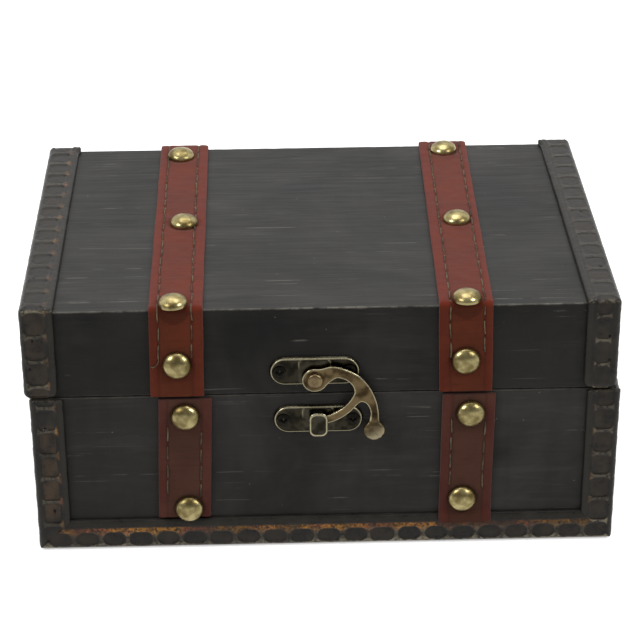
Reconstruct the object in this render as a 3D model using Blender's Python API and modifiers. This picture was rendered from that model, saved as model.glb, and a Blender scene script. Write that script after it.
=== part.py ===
"""Wooden jewelry box: boards, mitred corner mouldings, nailed leather straps,
a swing-hook latch at the front and two butt hinges let into the back.

The origin is the middle of the box's underside. X runs along the width, the front faces -Y,
Z is up. All sizes are in metres.
"""

import math

import bmesh
import bpy
from mathutils import Euler, Matrix, Vector

# Whole box, over the mouldings
box_width = 0.180
box_depth = 0.126
base_height = 0.0536
lid_height = 0.0307
seam_gap = 0.0003
lid_sideways = -0.00135  # the lid sits a little to the left of the base

# Clearances
piece_gap = 0.0003  # glue line, and the play between pieces that touch
cut_overrun = 0.002
join_sink = 0.0002  # how far a joined shape runs into the one that carries it

# Boards
wall_thickness = 0.006
bottom_thickness = 0.004
top_thickness = 0.003
board_edge_ease = 0.0004

# Mouldings
moulding_width = 0.0104
moulding_proud = 0.0018
moulding_corner_radius = 0.0014
moulding_corner_steps = 4
moulding_band_width = 0.0024  # the smooth band along the inner edge
moulding_band_proud = 0.0010
moulding_end_radius = 0.0014  # the ends at the seam are rounded over
moulding_end_facets = 3

# Straps
strap_width = 0.0158
strap_thickness = 0.0012
strap_from_end = 0.0464  # from the box's end to the middle of a strap
strap_bend_radius = 0.0006
strap_bend_steps = 4
strap_edge_ease = 0.0002
lid_strap_inset = 0.0003  # from the lid's lower edge to the strap's end
base_strap_inset = 0.0007  # from the base's rim to the strap's end

# Domed nails
nail_head_radius = 0.00425
nail_head_height = 0.0030
nail_shank_radius = 0.0006
nail_shank_in_wall = 0.0036
nail_shank_in_top = 0.0022
nail_dome_steps = 5
nail_turns = 18
nail_hole_turns = 12
nail_from_front = 0.0024  # first top nail, from the face of the front board
nail_from_back = 0.0088  # last top nail, from the face of the back board
nail_above_seam = 0.0111
nail_below_rim = 0.00665
nail_above_foot = 0.0153

# Latch
latch_lid_offset = -0.0020
latch_base_offset = -0.00235
plate_length = 0.0274
plate_height = 0.0094
plate_thickness = 0.0008
plate_end_steps = 8
plate_edge_ease = 0.0002
lid_plate_above_seam = 0.0079
base_plate_below_rim = 0.0084
boss_length = 0.0096
boss_height = 0.0086
boss_raise = 0.0004
pivot_above_seam = 0.00575
rivet_head_radius = 0.00235
rivet_head_height = 0.0010
rivet_shank_radius = 0.0012
rivet_shank_in_wall = 0.0040
rivet_turns = 20
hook_bore_clearance = 0.00025
hook_thickness = 0.0012
hook_edge_ease = 0.0002
hook_eye_radius = 0.0037
hook_reach = 0.0180  # from the pivot to the middle of the ball, sideways
hook_drop = 0.0176  # from the pivot to the middle of the ball, downwards
hook_ball_radius = 0.0032
hook_ball_half_depth = 0.0017
hook_ball_forward = 0.0003  # the ball stands a little forward of the hook's middle
hook_ball_segments = 18
hook_ball_rings = 10
prong_inner_radius = 0.0128
prong_outer_radius = 0.0154
prong_tip_outer_angle = math.radians(15.6)
prong_tip_inner_angle = math.radians(21.0)
prong_root_outer_angle = math.radians(54.0)
prong_root_inner_angle = math.radians(62.0)
prong_steps = 7
hook_curve_steps = 3
eye_start_angle = math.radians(-30.0)
eye_end_angle = math.radians(-262.0)
eye_steps = 12
keeper_neck_drop = 0.0110  # from the pivot down to the top of the keeper's neck
keeper_neck_height = 0.0009
keeper_neck_width = 0.0030
keeper_head_width = 0.0055
keeper_head_height = 0.0080
keeper_head_thickness = 0.0008
keeper_head_corner_radius = 0.0019
keeper_corner_steps = 4

# Outline of the hook between its arcs, as shares of its reach, from the pivot
hook_back_shares = (
    (0.100, 0.214),
    (0.283, 0.256),
    (0.483, 0.211),
    (0.739, 0.072),
    (0.917, -0.139),
    (1.028, -0.389),
    (1.072, -0.600),
    (1.090, -0.850),
)
hook_tail_shares = (
    (0.920, -0.850),
    (0.939, -0.683),
    (0.917, -0.556),
    (0.860, -0.462),
    (0.775, -0.432),
)
hook_throat_shares = (
    (0.663, -0.244),
    (0.628, -0.117),
    (0.517, -0.006),
    (0.372, 0.036),
    (0.252, -0.036),
)

# Latch screws
screw_head_radius = 0.0018
screw_crown_height = 0.0003
screw_shank_radius = 0.0008
screw_length = 0.0052
screw_spacing_from_middle = 0.0106
screw_turns = 16
screw_crown_steps = 3

# Hinges
hinge_from_end = 0.0250  # from the box's end to the middle of a hinge
hinge_width = 0.0200
hinge_axis_behind_wall = 0.0010
hinge_barrel_radius = 0.0016
hinge_pin_radius = 0.0007
hinge_pin_clearance = 0.00025
hinge_pin_head_radius = 0.0012
hinge_pin_head_length = 0.0006
hinge_leaf_height = 0.0115
hinge_leaf_thickness = 0.0008
hinge_leaf_start = 0.0022  # the leaf's plate begins this far from the axis
hinge_knuckle_gap = 0.0003
hinge_middle_knuckle = 0.0070
hinge_barrel_turns = 20
hinge_screw_offset = 0.0060
hinge_screw_from_axis = 0.0072
hinge_screw_head_radius = 0.0015
hinge_screw_head_height = 0.0006
hinge_screw_shank_radius = 0.0007
hinge_screw_length = 0.0040
hinge_screw_turns = 12

# Places worked out from the sizes above
quarter_turn = math.radians(90.0)
full_turn = math.radians(360.0)
smooth_angle = math.radians(40.0)
merge_distance = 0.000001
flat_angle = math.radians(0.5)
ease_from_angle = math.radians(60.0)

wall_x = box_width / 2 - moulding_proud
wall_y = box_depth / 2 - moulding_proud
lid_bottom = base_height + seam_gap
lid_crown = lid_bottom + lid_height
lid_surface = lid_crown - moulding_proud
lid_wall_height = lid_surface - top_thickness - piece_gap - lid_bottom
moulding_thickness = moulding_proud - piece_gap

hinge_axis = Vector((0, wall_y + hinge_axis_behind_wall, base_height + seam_gap / 2))

strap_offset = box_width / 2 - strap_from_end
hinge_offset = box_width / 2 - hinge_from_end
strap_back = piece_gap
strap_front = strap_back + strap_thickness
nail_seat = strap_front + piece_gap

plate_back = piece_gap
plate_front = plate_back + plate_thickness
boss_front = plate_front + boss_raise
hook_back = boss_front + piece_gap
hook_front = hook_back + hook_thickness
rivet_seat = hook_front + piece_gap
keeper_head_back = hook_front + piece_gap
keeper_head_front = keeper_head_back + keeper_head_thickness

lid_latch_x = lid_sideways + latch_lid_offset
pivot = Vector((lid_latch_x, -wall_y, lid_bottom + pivot_above_seam))
lid_plate_z = lid_bottom + lid_plate_above_seam
base_plate_z = base_height - base_plate_below_rim

# The two sides of the box, by name
sides = {"left": -1, "right": 1}


def clear_scene():
    """Remove every object that the file holds."""
    for existing in list(bpy.data.objects):
        bpy.data.objects.remove(existing, do_unlink=True)


def new_collection(name):
    collection = bpy.data.collections.new(name)
    bpy.context.scene.collection.children.link(collection)
    return collection


clear_scene()
box_parts = new_collection("wooden_jewelry_box")
cutters = new_collection("cutters")


def new_material(name, colour, roughness, metallic):
    material = bpy.data.materials.new(name)
    material.use_nodes = True
    shader = material.node_tree.nodes["Principled BSDF"]
    shader.inputs["Base Color"].default_value = (*colour, 1)
    shader.inputs["Roughness"].default_value = roughness
    shader.inputs["Metallic"].default_value = metallic
    return material


stained_wood = new_material("stained_wood", (0.052, 0.048, 0.044), 0.55, 0.0)
carved_wood = new_material("carved_wood", (0.060, 0.055, 0.050), 0.45, 0.0)
strap_leather = new_material("strap_leather", (0.150, 0.045, 0.033), 0.50, 0.0)
nail_brass = new_material("nail_brass", (0.480, 0.370, 0.160), 0.30, 1.0)
latch_bronze = new_material("latch_bronze", (0.150, 0.120, 0.080), 0.38, 1.0)
screw_steel = new_material("screw_steel", (0.050, 0.048, 0.045), 0.40, 1.0)
hinge_bronze = new_material("hinge_bronze", (0.170, 0.130, 0.075), 0.40, 1.0)


def place(piece, location, rotation=None, parent=None):
    """Put a piece at a world location, under its parent empty if it has one."""
    if parent is not None:
        piece.parent = parent
        location = Vector(location) - parent_location(parent)
    piece.location = location
    if rotation is not None:
        piece.rotation_euler = rotation
    return piece


def parent_location(empty):
    """World location of an empty, whose parents only move it."""
    total = Vector((0, 0, 0))
    while empty is not None:
        total += empty.location
        empty = empty.parent
    return total


def new_pivot(name, location, parent=None):
    empty = bpy.data.objects.new(name, None)
    box_parts.objects.link(empty)
    return place(empty, location, None, parent)


def new_piece(name, mesh, material):
    piece = bpy.data.objects.new(name, mesh)
    mesh.name = name
    mesh.materials.clear()
    mesh.materials.append(material)
    box_parts.objects.link(piece)
    return piece


def new_cutter(name, mesh):
    cutter = bpy.data.objects.new(name, mesh)
    cutters.objects.link(cutter)
    cutter.hide_render = True
    cutter.display_type = "WIRE"
    return cutter


def box_mesh(name, size):
    """A box with its middle at the origin."""
    shape = bmesh.new()
    bmesh.ops.create_cube(shape, size=1)
    bmesh.ops.scale(shape, vec=Vector(size), verts=shape.verts)
    return finish_mesh(name, shape)


def cylinder_mesh(name, radius, length, turns):
    """A cylinder along Z with its middle at the origin."""
    shape = bmesh.new()
    bmesh.ops.create_cone(
        shape, cap_ends=True, segments=turns, radius1=radius, radius2=radius, depth=length
    )
    return finish_mesh(name, shape)


def finish_mesh(name, shape):
    bmesh.ops.recalc_face_normals(shape, faces=shape.faces)
    mesh = bpy.data.meshes.new(name)
    shape.to_mesh(mesh)
    shape.free()
    return mesh


def outline_mesh(name, points, thickness):
    """A flat outline in XY given a thickness along Z, with its middle at Z = 0."""
    curve = bpy.data.curves.new(name, "CURVE")
    curve.dimensions = "2D"
    curve.fill_mode = "BOTH"
    curve.extrude = thickness / 2
    spline = curve.splines.new("POLY")
    spline.points.add(len(points) - 1)
    for point, (x, y) in zip(spline.points, points):
        point.co = (x, y, 0, 1)
    spline.use_cyclic_u = True
    holder = bpy.data.objects.new(name, curve)
    bpy.context.scene.collection.objects.link(holder)
    bpy.context.view_layer.update()
    evaluated = holder.evaluated_get(bpy.context.evaluated_depsgraph_get())
    mesh = bpy.data.meshes.new_from_object(evaluated)
    bpy.data.objects.remove(holder, do_unlink=True)
    shape = bmesh.new()
    shape.from_mesh(mesh)
    bmesh.ops.remove_doubles(shape, verts=shape.verts, dist=merge_distance)
    bmesh.ops.dissolve_limit(
        shape, angle_limit=flat_angle, verts=shape.verts, edges=shape.edges
    )
    bmesh.ops.recalc_face_normals(shape, faces=shape.faces)
    shape.to_mesh(mesh)
    shape.free()
    return mesh


def turned_mesh(name, profile, turns):
    """A profile in XZ, run down its outer side, turned about Z."""
    mesh = bpy.data.meshes.new(name)
    edges = [(i, i + 1) for i in range(len(profile) - 1)]
    mesh.from_pydata([(x, 0, z) for x, z in profile], edges, [])
    holder = bpy.data.objects.new(name, mesh)
    bpy.context.scene.collection.objects.link(holder)
    screw = holder.modifiers.new("turn", "SCREW")
    screw.axis = "Z"
    screw.angle = full_turn
    screw.steps = turns
    screw.render_steps = turns
    screw.use_merge_vertices = True
    screw.merge_threshold = merge_distance
    bpy.context.view_layer.update()
    evaluated = holder.evaluated_get(bpy.context.evaluated_depsgraph_get())
    turned = bpy.data.meshes.new_from_object(evaluated)
    bpy.data.objects.remove(holder, do_unlink=True)
    shape = bmesh.new()
    shape.from_mesh(turned)
    bmesh.ops.remove_doubles(shape, verts=shape.verts, dist=merge_distance)
    bmesh.ops.recalc_face_normals(shape, faces=shape.faces)
    shape.to_mesh(turned)
    shape.free()
    return turned


def smooth_shading(piece):
    piece.data.shade_smooth()
    piece.data.set_sharp_from_angle(angle=smooth_angle)


def combine(piece, other, operation):
    """Cut another solid out of a piece, or join it on."""
    change = piece.modifiers.new(operation.lower(), "BOOLEAN")
    change.operation = operation
    change.solver = "EXACT"
    change.object = other


def ease_edges(piece, width):
    """Take the sharpness off a piece's edges."""
    ease = piece.modifiers.new("ease", "BEVEL")
    ease.width = width
    ease.segments = 1
    ease.limit_method = "ANGLE"
    ease.angle_limit = ease_from_angle


def trim(piece, point, normal):
    """Cut a piece at a world plane and close it. What the normal points at goes."""
    bpy.context.view_layer.update()
    to_local = piece.matrix_world.inverted()
    local_point = to_local @ Vector(point)
    local_normal = (to_local.to_3x3() @ Vector(normal)).normalized()
    shape = bmesh.new()
    shape.from_mesh(piece.data)
    bmesh.ops.bisect_plane(
        shape,
        geom=list(shape.verts) + list(shape.edges) + list(shape.faces),
        plane_co=local_point,
        plane_no=local_normal,
        clear_outer=True,
    )
    rim = [edge for edge in shape.edges if edge.is_boundary]
    bmesh.ops.holes_fill(shape, edges=rim, sides=0)
    bmesh.ops.remove_doubles(shape, verts=shape.verts, dist=merge_distance)
    bmesh.ops.recalc_face_normals(shape, faces=shape.faces)
    shape.to_mesh(piece.data)
    shape.free()


def arc_points(centre, radius, start, end, steps):
    """Points on an arc, both ends included."""
    return [
        (
            centre[0] + radius * math.cos(start + (end - start) * i / steps),
            centre[1] + radius * math.sin(start + (end - start) * i / steps),
        )
        for i in range(steps + 1)
    ]


def smooth_points(points, steps):
    """Points on a smooth curve that passes through the given points."""
    places = [Vector(point) for point in points]
    places = [2 * places[0] - places[1]] + places + [2 * places[-1] - places[-2]]
    result = []
    for before, start, end, after in zip(places, places[1:], places[2:], places[3:]):
        for i in range(steps):
            t = i / steps
            value = (
                2 * start
                + (end - before) * t
                + (2 * before - 5 * start + 4 * end - after) * t**2
                + (3 * start - before - 3 * end + after) * t**3
            ) / 2
            result.append((value.x, value.y))
    result.append(tuple(places[-2]))
    return result


def stud_profile(head_radius, head_height, dome_steps, shank_radius, shank_length):
    """Half section of a domed stud whose head sits on Z = 0 and whose shank points down."""
    dome = [
        (head_radius * math.sin(angle), head_height * math.cos(angle))
        for angle in (quarter_turn * i / dome_steps for i in range(dome_steps + 1))
    ]
    dome[-1] = (head_radius, 0)
    return dome + [(shank_radius, 0), (shank_radius, -shank_length), (0, -shank_length)]


# Boards


def board(name, size, middle, parent=None):
    piece = new_piece(name, box_mesh(name, size), stained_wood)
    ease_edges(piece, board_edge_ease)
    return place(piece, middle, None, parent)


def build_frame(prefix, bottom, height, middle_x, parent=None):
    """Four walls: the front and back boards run the full width, the sides fit between."""
    middle_z = bottom + height / 2
    frame = {}
    for face, direction in (("front", -1), ("back", 1)):
        frame[face] = board(
            f"{prefix}_{face}_board",
            (2 * wall_x, wall_thickness, height),
            (middle_x, direction * (wall_y - wall_thickness / 2), middle_z),
            parent,
        )
    side_length = 2 * (wall_y - wall_thickness - piece_gap)
    for face, direction in sides.items():
        frame[face] = board(
            f"{prefix}_{face}_board",
            (wall_thickness, side_length, height),
            (middle_x + direction * (wall_x - wall_thickness / 2), 0, middle_z),
            parent,
        )
    return frame


lid_pivot = new_pivot("lid_pivot", hinge_axis)
hook_pivot = new_pivot("hook_pivot", pivot, lid_pivot)

base_walls = build_frame("base", 0, base_height, 0)
lid_walls = build_frame("lid", lid_bottom, lid_wall_height, lid_sideways, lid_pivot)

base_bottom = board(
    "base_bottom",
    (
        2 * (wall_x - wall_thickness - piece_gap),
        2 * (wall_y - wall_thickness - piece_gap),
        bottom_thickness,
    ),
    (0, 0, bottom_thickness / 2),
)
lid_top = board(
    "lid_top_board",
    (2 * wall_x, 2 * wall_y, top_thickness),
    (lid_sideways, 0, lid_surface - top_thickness / 2),
    lid_pivot,
)


# Mouldings


def corner_section():
    """Section of a corner moulding, its outer corner at the origin, legs along +X and +Y."""
    radius = moulding_corner_radius
    band_start = moulding_width - moulding_band_width
    band_drop = moulding_proud - moulding_band_proud
    inner = moulding_thickness
    leg = [(moulding_width, inner), (moulding_width, band_drop), (band_start, 0)]
    corner = arc_points(
        (radius, radius), radius, -quarter_turn, -2 * quarter_turn, moulding_corner_steps
    )
    other_leg = [(y, x) for x, y in reversed(leg)]
    return leg + corner + other_leg + [(inner, inner)]


def rail_section():
    """Section of a flat rail: X is the way in from its face, Y is up from its lower edge."""
    radius = moulding_corner_radius
    inner = moulding_thickness
    band_start = moulding_width - moulding_band_width
    band_drop = moulding_proud - moulding_band_proud
    corner = arc_points(
        (radius, radius), radius, -quarter_turn, -2 * quarter_turn, moulding_corner_steps
    )
    face = [(0, band_start), (band_drop, moulding_width), (inner, moulding_width)]
    return [(inner, 0)] + corner + face


def round_seam_end(piece, corner, inward_x, inward_y, seam_z, away):
    """Round a post's end over its outer faces, by flat cuts that follow a radius."""
    for inward in (inward_x, inward_y):
        middle = Vector((corner.x, corner.y, seam_z))
        middle += inward * moulding_end_radius - away * moulding_end_radius
        for i in range(moulding_end_facets):
            angle = quarter_turn * (i + 0.5) / moulding_end_facets
            normal = away * math.cos(angle) - inward * math.sin(angle)
            trim(piece, middle + normal * moulding_end_radius, normal)


def corner_moulding(name, length, middle, turn, parent=None):
    mesh = outline_mesh(name, corner_section(), length)
    piece = new_piece(name, mesh, carved_wood)
    return place(piece, middle, turn, parent)


post_turns = {
    ("front", "left"): 0,
    ("front", "right"): 1,
    ("back", "right"): 2,
    ("back", "left"): 3,
}
rail_turns = {"left": 0, "front": 1, "right": 2, "back": 3}
mitre_gap = piece_gap / math.sqrt(2)
up = Vector((0, 0, 1))


def build_posts(prefix, bottom, top, middle_x, parent=None):
    """Four corner posts, each wrapped round two faces of the box."""
    posts = {}
    for (face, side), turns in post_turns.items():
        inward_x = Vector((-sides[side], 0, 0))
        inward_y = Vector((0, 1 if face == "front" else -1, 0))
        corner = Vector((middle_x, 0, 0)) - inward_x * box_width / 2 - inward_y * box_depth / 2
        piece = corner_moulding(
            f"{prefix}_post_{face}_{side}",
            top - bottom,
            corner + up * (bottom + top) / 2,
            Euler((0, 0, quarter_turn * turns)),
            parent,
        )
        posts[face, side] = (piece, corner, inward_x, inward_y)
    return posts


for piece, corner, inward_x, inward_y in build_posts("base", 0, base_height, 0).values():
    for inward in (inward_x, inward_y):
        trim(piece, corner + up * mitre_gap, inward - up)
    round_seam_end(piece, corner, inward_x, inward_y, base_height, up)

lid_posts = build_posts("lid", lid_bottom, lid_crown, lid_sideways, lid_pivot)
for piece, corner, inward_x, inward_y in lid_posts.values():
    trim(piece, corner + up * (lid_crown - mitre_gap), inward_y + up)
    round_seam_end(piece, corner, inward_x, inward_y, lid_bottom, -up)

for name, turns in rail_turns.items():
    turn = Matrix.Rotation(quarter_turn * turns, 3, "Z")
    inward = turn @ Vector((1, 0, 0))
    along = turn @ Vector((0, 1, 0))
    half_length = (box_depth if name in sides else box_width) / 2
    half_across = (box_width if name in sides else box_depth) / 2
    rail = new_piece(
        f"base_rail_{name}",
        outline_mesh(f"base_rail_{name}", rail_section(), 2 * half_length),
        carved_wood,
    )
    place(rail, -inward * half_across, Euler((quarter_turn, 0, quarter_turn * turns)))
    for end in (along, -along):
        corner = end * half_length - inward * half_across
        trim(rail, corner - end * mitre_gap, up + end)
        trim(rail, corner - end * mitre_gap, inward + end)

for side, direction in sides.items():
    lay_down = Matrix.Rotation(-quarter_turn, 3, "X")
    spin = Matrix.Rotation(0 if side == "left" else quarter_turn, 3, "Z")
    top_trim = corner_moulding(
        f"lid_top_trim_{side}",
        box_depth,
        (lid_sideways + direction * box_width / 2, 0, lid_crown),
        (lay_down @ spin).to_euler(),
        lid_pivot,
    )
    for inward_y in (Vector((0, 1, 0)), Vector((0, -1, 0))):
        edge = -inward_y * box_depth / 2 + up * (lid_crown + mitre_gap)
        trim(top_trim, edge, -inward_y - up)


# Leather straps


def lid_strap_outline():
    """Side view of a lid strap: up the front, over the top and down the back."""
    inner_y = wall_y + strap_back
    inner_z = lid_surface + strap_back
    low = lid_bottom + lid_strap_inset
    outer_bend = strap_bend_radius + strap_thickness
    bend_y = inner_y - strap_bend_radius
    bend_z = inner_z - strap_bend_radius
    outer = arc_points((bend_y, bend_z), outer_bend, 0, quarter_turn, strap_bend_steps)
    inner = arc_points((bend_y, bend_z), strap_bend_radius, quarter_turn, 0, strap_bend_steps)
    back_half = [(inner_y + strap_thickness, low)] + outer
    front_half = [(-y, z) for y, z in reversed(back_half)]
    inner_back = inner + [(inner_y, low)]
    inner_front = [(-y, z) for y, z in reversed(inner_back)]
    return back_half + front_half + inner_front + inner_back


base_strap_low = moulding_width + piece_gap
base_strap_height = base_height - base_strap_inset - base_strap_low
lid_straps = {}
base_straps = {}
for side, direction in sides.items():
    x = direction * strap_offset
    strap = new_piece(
        f"lid_strap_{side}",
        outline_mesh(f"lid_strap_{side}", lid_strap_outline(), strap_width),
        strap_leather,
    )
    ease_edges(strap, strap_edge_ease)
    turn = Euler((quarter_turn, 0, quarter_turn))
    place(strap, (lid_sideways + x, 0, 0), turn, lid_pivot)
    lid_straps[side] = strap
    for face, outward in (("front", -1), ("back", 1)):
        strap = new_piece(
            f"base_strap_{face}_{side}",
            box_mesh("strap", (strap_width, strap_thickness, base_strap_height)),
            strap_leather,
        )
        ease_edges(strap, strap_edge_ease)
        y = outward * (wall_y + strap_back + strap_thickness / 2)
        place(strap, (x, y, base_strap_low + base_strap_height / 2))
        base_straps[face, side] = strap


# Domed nails

stand_up = Euler((0, 0, 0))
face_front = Euler((quarter_turn, 0, 0))
face_back = Euler((-quarter_turn, 0, 0))


def nail_mesh(name, seat_height, depth_in_wood):
    """A nail whose head sits this high over the wood."""
    profile = stud_profile(
        nail_head_radius,
        nail_head_height,
        nail_dome_steps,
        nail_shank_radius,
        seat_height + depth_in_wood,
    )
    return turned_mesh(name, profile, nail_turns)


def drill(name, pieces, seat, turn, radius, depth, reach, turns, parent=None):
    """Drill pieces at a seat on the wood's face, this deep, and as far out as the reach."""
    cutter = new_cutter(name, cylinder_mesh(name, radius, depth + reach, turns))
    outward = turn.to_matrix() @ up
    place(cutter, seat + outward * (reach - depth) / 2, turn, parent)
    for piece in pieces:
        combine(piece, cutter, "DIFFERENCE")


def drill_for_nail(name, pieces, seat, turn, depth, parent=None):
    drill(
        f"hole_{name}",
        pieces,
        seat,
        turn,
        nail_shank_radius + piece_gap,
        depth + piece_gap,
        strap_front + cut_overrun,
        nail_hole_turns,
        parent,
    )


def nail_spot(name, seat, turn, depth, wood, strap, parent=None):
    """A nail through a strap. The seat is the point on the face of the wood."""
    outward = turn.to_matrix() @ up
    drill_for_nail(name, [wood, strap], seat, turn, depth, parent)
    nail = new_piece(name, nail_mesh(name, nail_seat, depth), nail_brass)
    smooth_shading(nail)
    return place(nail, seat + outward * nail_seat, turn, parent)


first_top_nail = nail_from_front - wall_y
last_top_nail = wall_y - nail_from_back
middle_top_nail = (first_top_nail + last_top_nail) / 2
top_rows = (("front", first_top_nail), ("middle", middle_top_nail), ("back", last_top_nail))
fused_nail_seat = strap_front - join_sink
for side, direction in sides.items():
    x = direction * strap_offset
    lid_x = lid_sideways + x
    strap = lid_straps[side]
    for row, y in top_rows:
        nail_spot(
            f"lid_nail_{side}_top_{row}",
            Vector((lid_x, y, lid_surface)),
            stand_up,
            nail_shank_in_top,
            lid_top,
            strap,
            lid_pivot,
        )
    for face, turn, outward in (("front", face_front, -1), ("back", face_back, 1)):
        nail_spot(
            f"lid_nail_{side}_{face}",
            Vector((lid_x, outward * wall_y, lid_bottom + nail_above_seam)),
            turn,
            nail_shank_in_wall,
            lid_walls[face],
            strap,
            lid_pivot,
        )
    base_rows = (("upper", base_height - nail_below_rim), ("lower", nail_above_foot))
    for row, z in base_rows:
        nail_spot(
            f"base_nail_{side}_{row}",
            Vector((x, -wall_y, z)),
            face_front,
            nail_shank_in_wall,
            base_walls["front"],
            base_straps["front", side],
        )
        seat = Vector((x, wall_y, z))
        fused_name = f"back_nail_{side}_{row}"
        drill_for_nail(
            fused_name, [base_walls["back"]], seat, face_back, nail_shank_in_wall
        )
        fused = new_cutter(
            fused_name, nail_mesh(fused_name, fused_nail_seat, nail_shank_in_wall)
        )
        place(fused, seat + Vector((0, fused_nail_seat, 0)), face_back)
        combine(base_straps["back", side], fused, "UNION")


# Latch


def stadium_points(length, height, steps):
    """A flat outline with half-round ends."""
    radius = height / 2
    reach = length / 2 - radius
    right = arc_points((reach, 0), radius, -quarter_turn, quarter_turn, steps)
    left = arc_points((-reach, 0), radius, quarter_turn, 3 * quarter_turn, steps)
    return right + left


def rounded_box_points(width, height, radius, steps):
    x = width / 2 - radius
    y = height / 2 - radius
    corners = ((x, -y, -1), (x, y, 0), (-x, y, 1), (-x, -y, 2))
    points = []
    for corner_x, corner_y, quarter in corners:
        start = quarter * quarter_turn
        points += arc_points((corner_x, corner_y), radius, start, start + quarter_turn, steps)
    return points


def screw_profile(clearance):
    """Half section of a countersunk screw whose head's rim lies on Z = 0."""
    head = screw_head_radius + clearance
    shank = screw_shank_radius + clearance
    crown = [
        (head * math.sin(angle), screw_crown_height * math.cos(angle))
        for angle in (quarter_turn * i / screw_crown_steps for i in range(screw_crown_steps))
    ]
    rim = [(head, 0)]
    if clearance:
        crown = [(0, cut_overrun)]
        rim = [(head + cut_overrun, cut_overrun)]
    low = -screw_length - clearance
    return crown + rim + [(shank, shank - head), (shank, low), (0, low)]


def add_screws(prefix, plate, wall, middle, parent=None):
    for side, direction in sides.items():
        name = f"{prefix}_screw_{side}"
        seat = middle + Vector((direction * screw_spacing_from_middle, -plate_front, 0))
        cutter = new_cutter(
            f"hole_{name}", turned_mesh(name, screw_profile(piece_gap), screw_turns)
        )
        place(cutter, seat, face_front, parent)
        for piece in (plate, wall):
            combine(piece, cutter, "DIFFERENCE")
        screw = new_piece(name, turned_mesh(name, screw_profile(0), screw_turns), screw_steel)
        smooth_shading(screw)
        place(screw, seat, face_front, parent)


def latch_stadium(name, middle, parent=None):
    plate = new_piece(
        name,
        outline_mesh(
            name, stadium_points(plate_length, plate_height, plate_end_steps), plate_thickness
        ),
        latch_bronze,
    )
    ease_edges(plate, plate_edge_ease)
    seat = middle - Vector((0, plate_back + plate_thickness / 2, 0))
    return place(plate, seat, face_front, parent)


lid_plate_middle = Vector((lid_latch_x, -wall_y, lid_plate_z))
latch_plate = latch_stadium("latch_plate", lid_plate_middle, lid_pivot)
boss_depth = boss_front - plate_back - plate_thickness / 2
boss = new_cutter("latch_boss", box_mesh("latch_boss", (boss_length, boss_depth, boss_height)))
place(boss, lid_plate_middle - Vector((0, boss_front - boss_depth / 2, 0)), None, lid_pivot)
combine(latch_plate, boss, "UNION")
add_screws("latch", latch_plate, lid_walls["front"], lid_plate_middle, lid_pivot)
drill(
    "hole_rivet",
    [lid_walls["front"], latch_plate],
    pivot,
    face_front,
    rivet_shank_radius + piece_gap,
    rivet_shank_in_wall + piece_gap,
    boss_front + cut_overrun,
    rivet_turns,
    lid_pivot,
)


def hook_outline():
    """Outline of the hook seen from the front, the pivot at the origin."""

    def from_shares(shares):
        return [(hook_reach * x, hook_reach * z) for x, z in shares]

    down = -quarter_turn
    outer = arc_points(
        (0, 0),
        prong_outer_radius,
        down + prong_root_outer_angle,
        down + prong_tip_outer_angle,
        prong_steps,
    )
    inner = arc_points(
        (0, 0),
        prong_inner_radius,
        down + prong_tip_inner_angle,
        down + prong_root_inner_angle,
        prong_steps,
    )
    eye = arc_points((0, 0), hook_eye_radius, eye_start_angle, eye_end_angle, eye_steps)
    back = smooth_points([eye[-1]] + from_shares(hook_back_shares), hook_curve_steps)
    tail = smooth_points(from_shares(hook_tail_shares) + [outer[0]], hook_curve_steps)
    throat = smooth_points([inner[-1]] + from_shares(hook_throat_shares), hook_curve_steps)
    return eye[:-1] + back + tail[:-1] + outer + inner[:-1] + throat


hook_middle = (hook_back + hook_front) / 2
hook = new_piece(
    "latch_hook", outline_mesh("latch_hook", hook_outline(), hook_thickness), latch_bronze
)
ease_edges(hook, hook_edge_ease)
place(hook, pivot - Vector((0, hook_middle, 0)), face_front, hook_pivot)

ball_shape = bmesh.new()
bmesh.ops.create_uvsphere(
    ball_shape, u_segments=hook_ball_segments, v_segments=hook_ball_rings, radius=1
)
ball_size = Vector((hook_ball_radius, hook_ball_radius, hook_ball_half_depth))
bmesh.ops.scale(ball_shape, vec=ball_size, verts=ball_shape.verts)
ball = new_cutter("hook_ball", finish_mesh("hook_ball", ball_shape))
ball_y = -hook_middle - hook_ball_forward
place(ball, pivot + Vector((hook_reach, ball_y, -hook_drop)), face_front, hook_pivot)
combine(hook, ball, "UNION")
drill(
    "hook_bore",
    [hook],
    pivot,
    face_front,
    rivet_shank_radius + hook_bore_clearance,
    0,
    hook_front + cut_overrun,
    rivet_turns,
    hook_pivot,
)

rivet_profile = stud_profile(
    rivet_head_radius,
    rivet_head_height,
    nail_dome_steps,
    rivet_shank_radius,
    rivet_seat + rivet_shank_in_wall,
)
rivet = new_piece(
    "latch_rivet", turned_mesh("latch_rivet", rivet_profile, rivet_turns), latch_bronze
)
smooth_shading(rivet)
place(rivet, pivot - Vector((0, rivet_seat, 0)), face_front, lid_pivot)

base_plate_middle = Vector((latch_base_offset, -wall_y, base_plate_z))
catch_plate = latch_stadium("catch_plate", base_plate_middle)
keeper_top = pivot.z - keeper_neck_drop
neck_back = plate_front - join_sink
neck_front = keeper_head_back + join_sink
neck = new_cutter(
    "keeper_neck",
    box_mesh("keeper_neck", (keeper_neck_width, neck_front - neck_back, keeper_neck_height)),
)
place(
    neck,
    (latch_base_offset, -wall_y - (neck_back + neck_front) / 2, keeper_top - keeper_neck_height / 2),
)
head_outline = rounded_box_points(
    keeper_head_width, keeper_head_height, keeper_head_corner_radius, keeper_corner_steps
)
head = new_cutter(
    "keeper_head", outline_mesh("keeper_head", head_outline, keeper_head_thickness)
)
place(
    head,
    (
        latch_base_offset,
        -wall_y - (keeper_head_back + keeper_head_front) / 2,
        keeper_top - keeper_head_height / 2,
    ),
    face_front,
)
combine(catch_plate, neck, "UNION")
combine(catch_plate, head, "UNION")
add_screws("catch", catch_plate, base_walls["front"], base_plate_middle)


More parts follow.
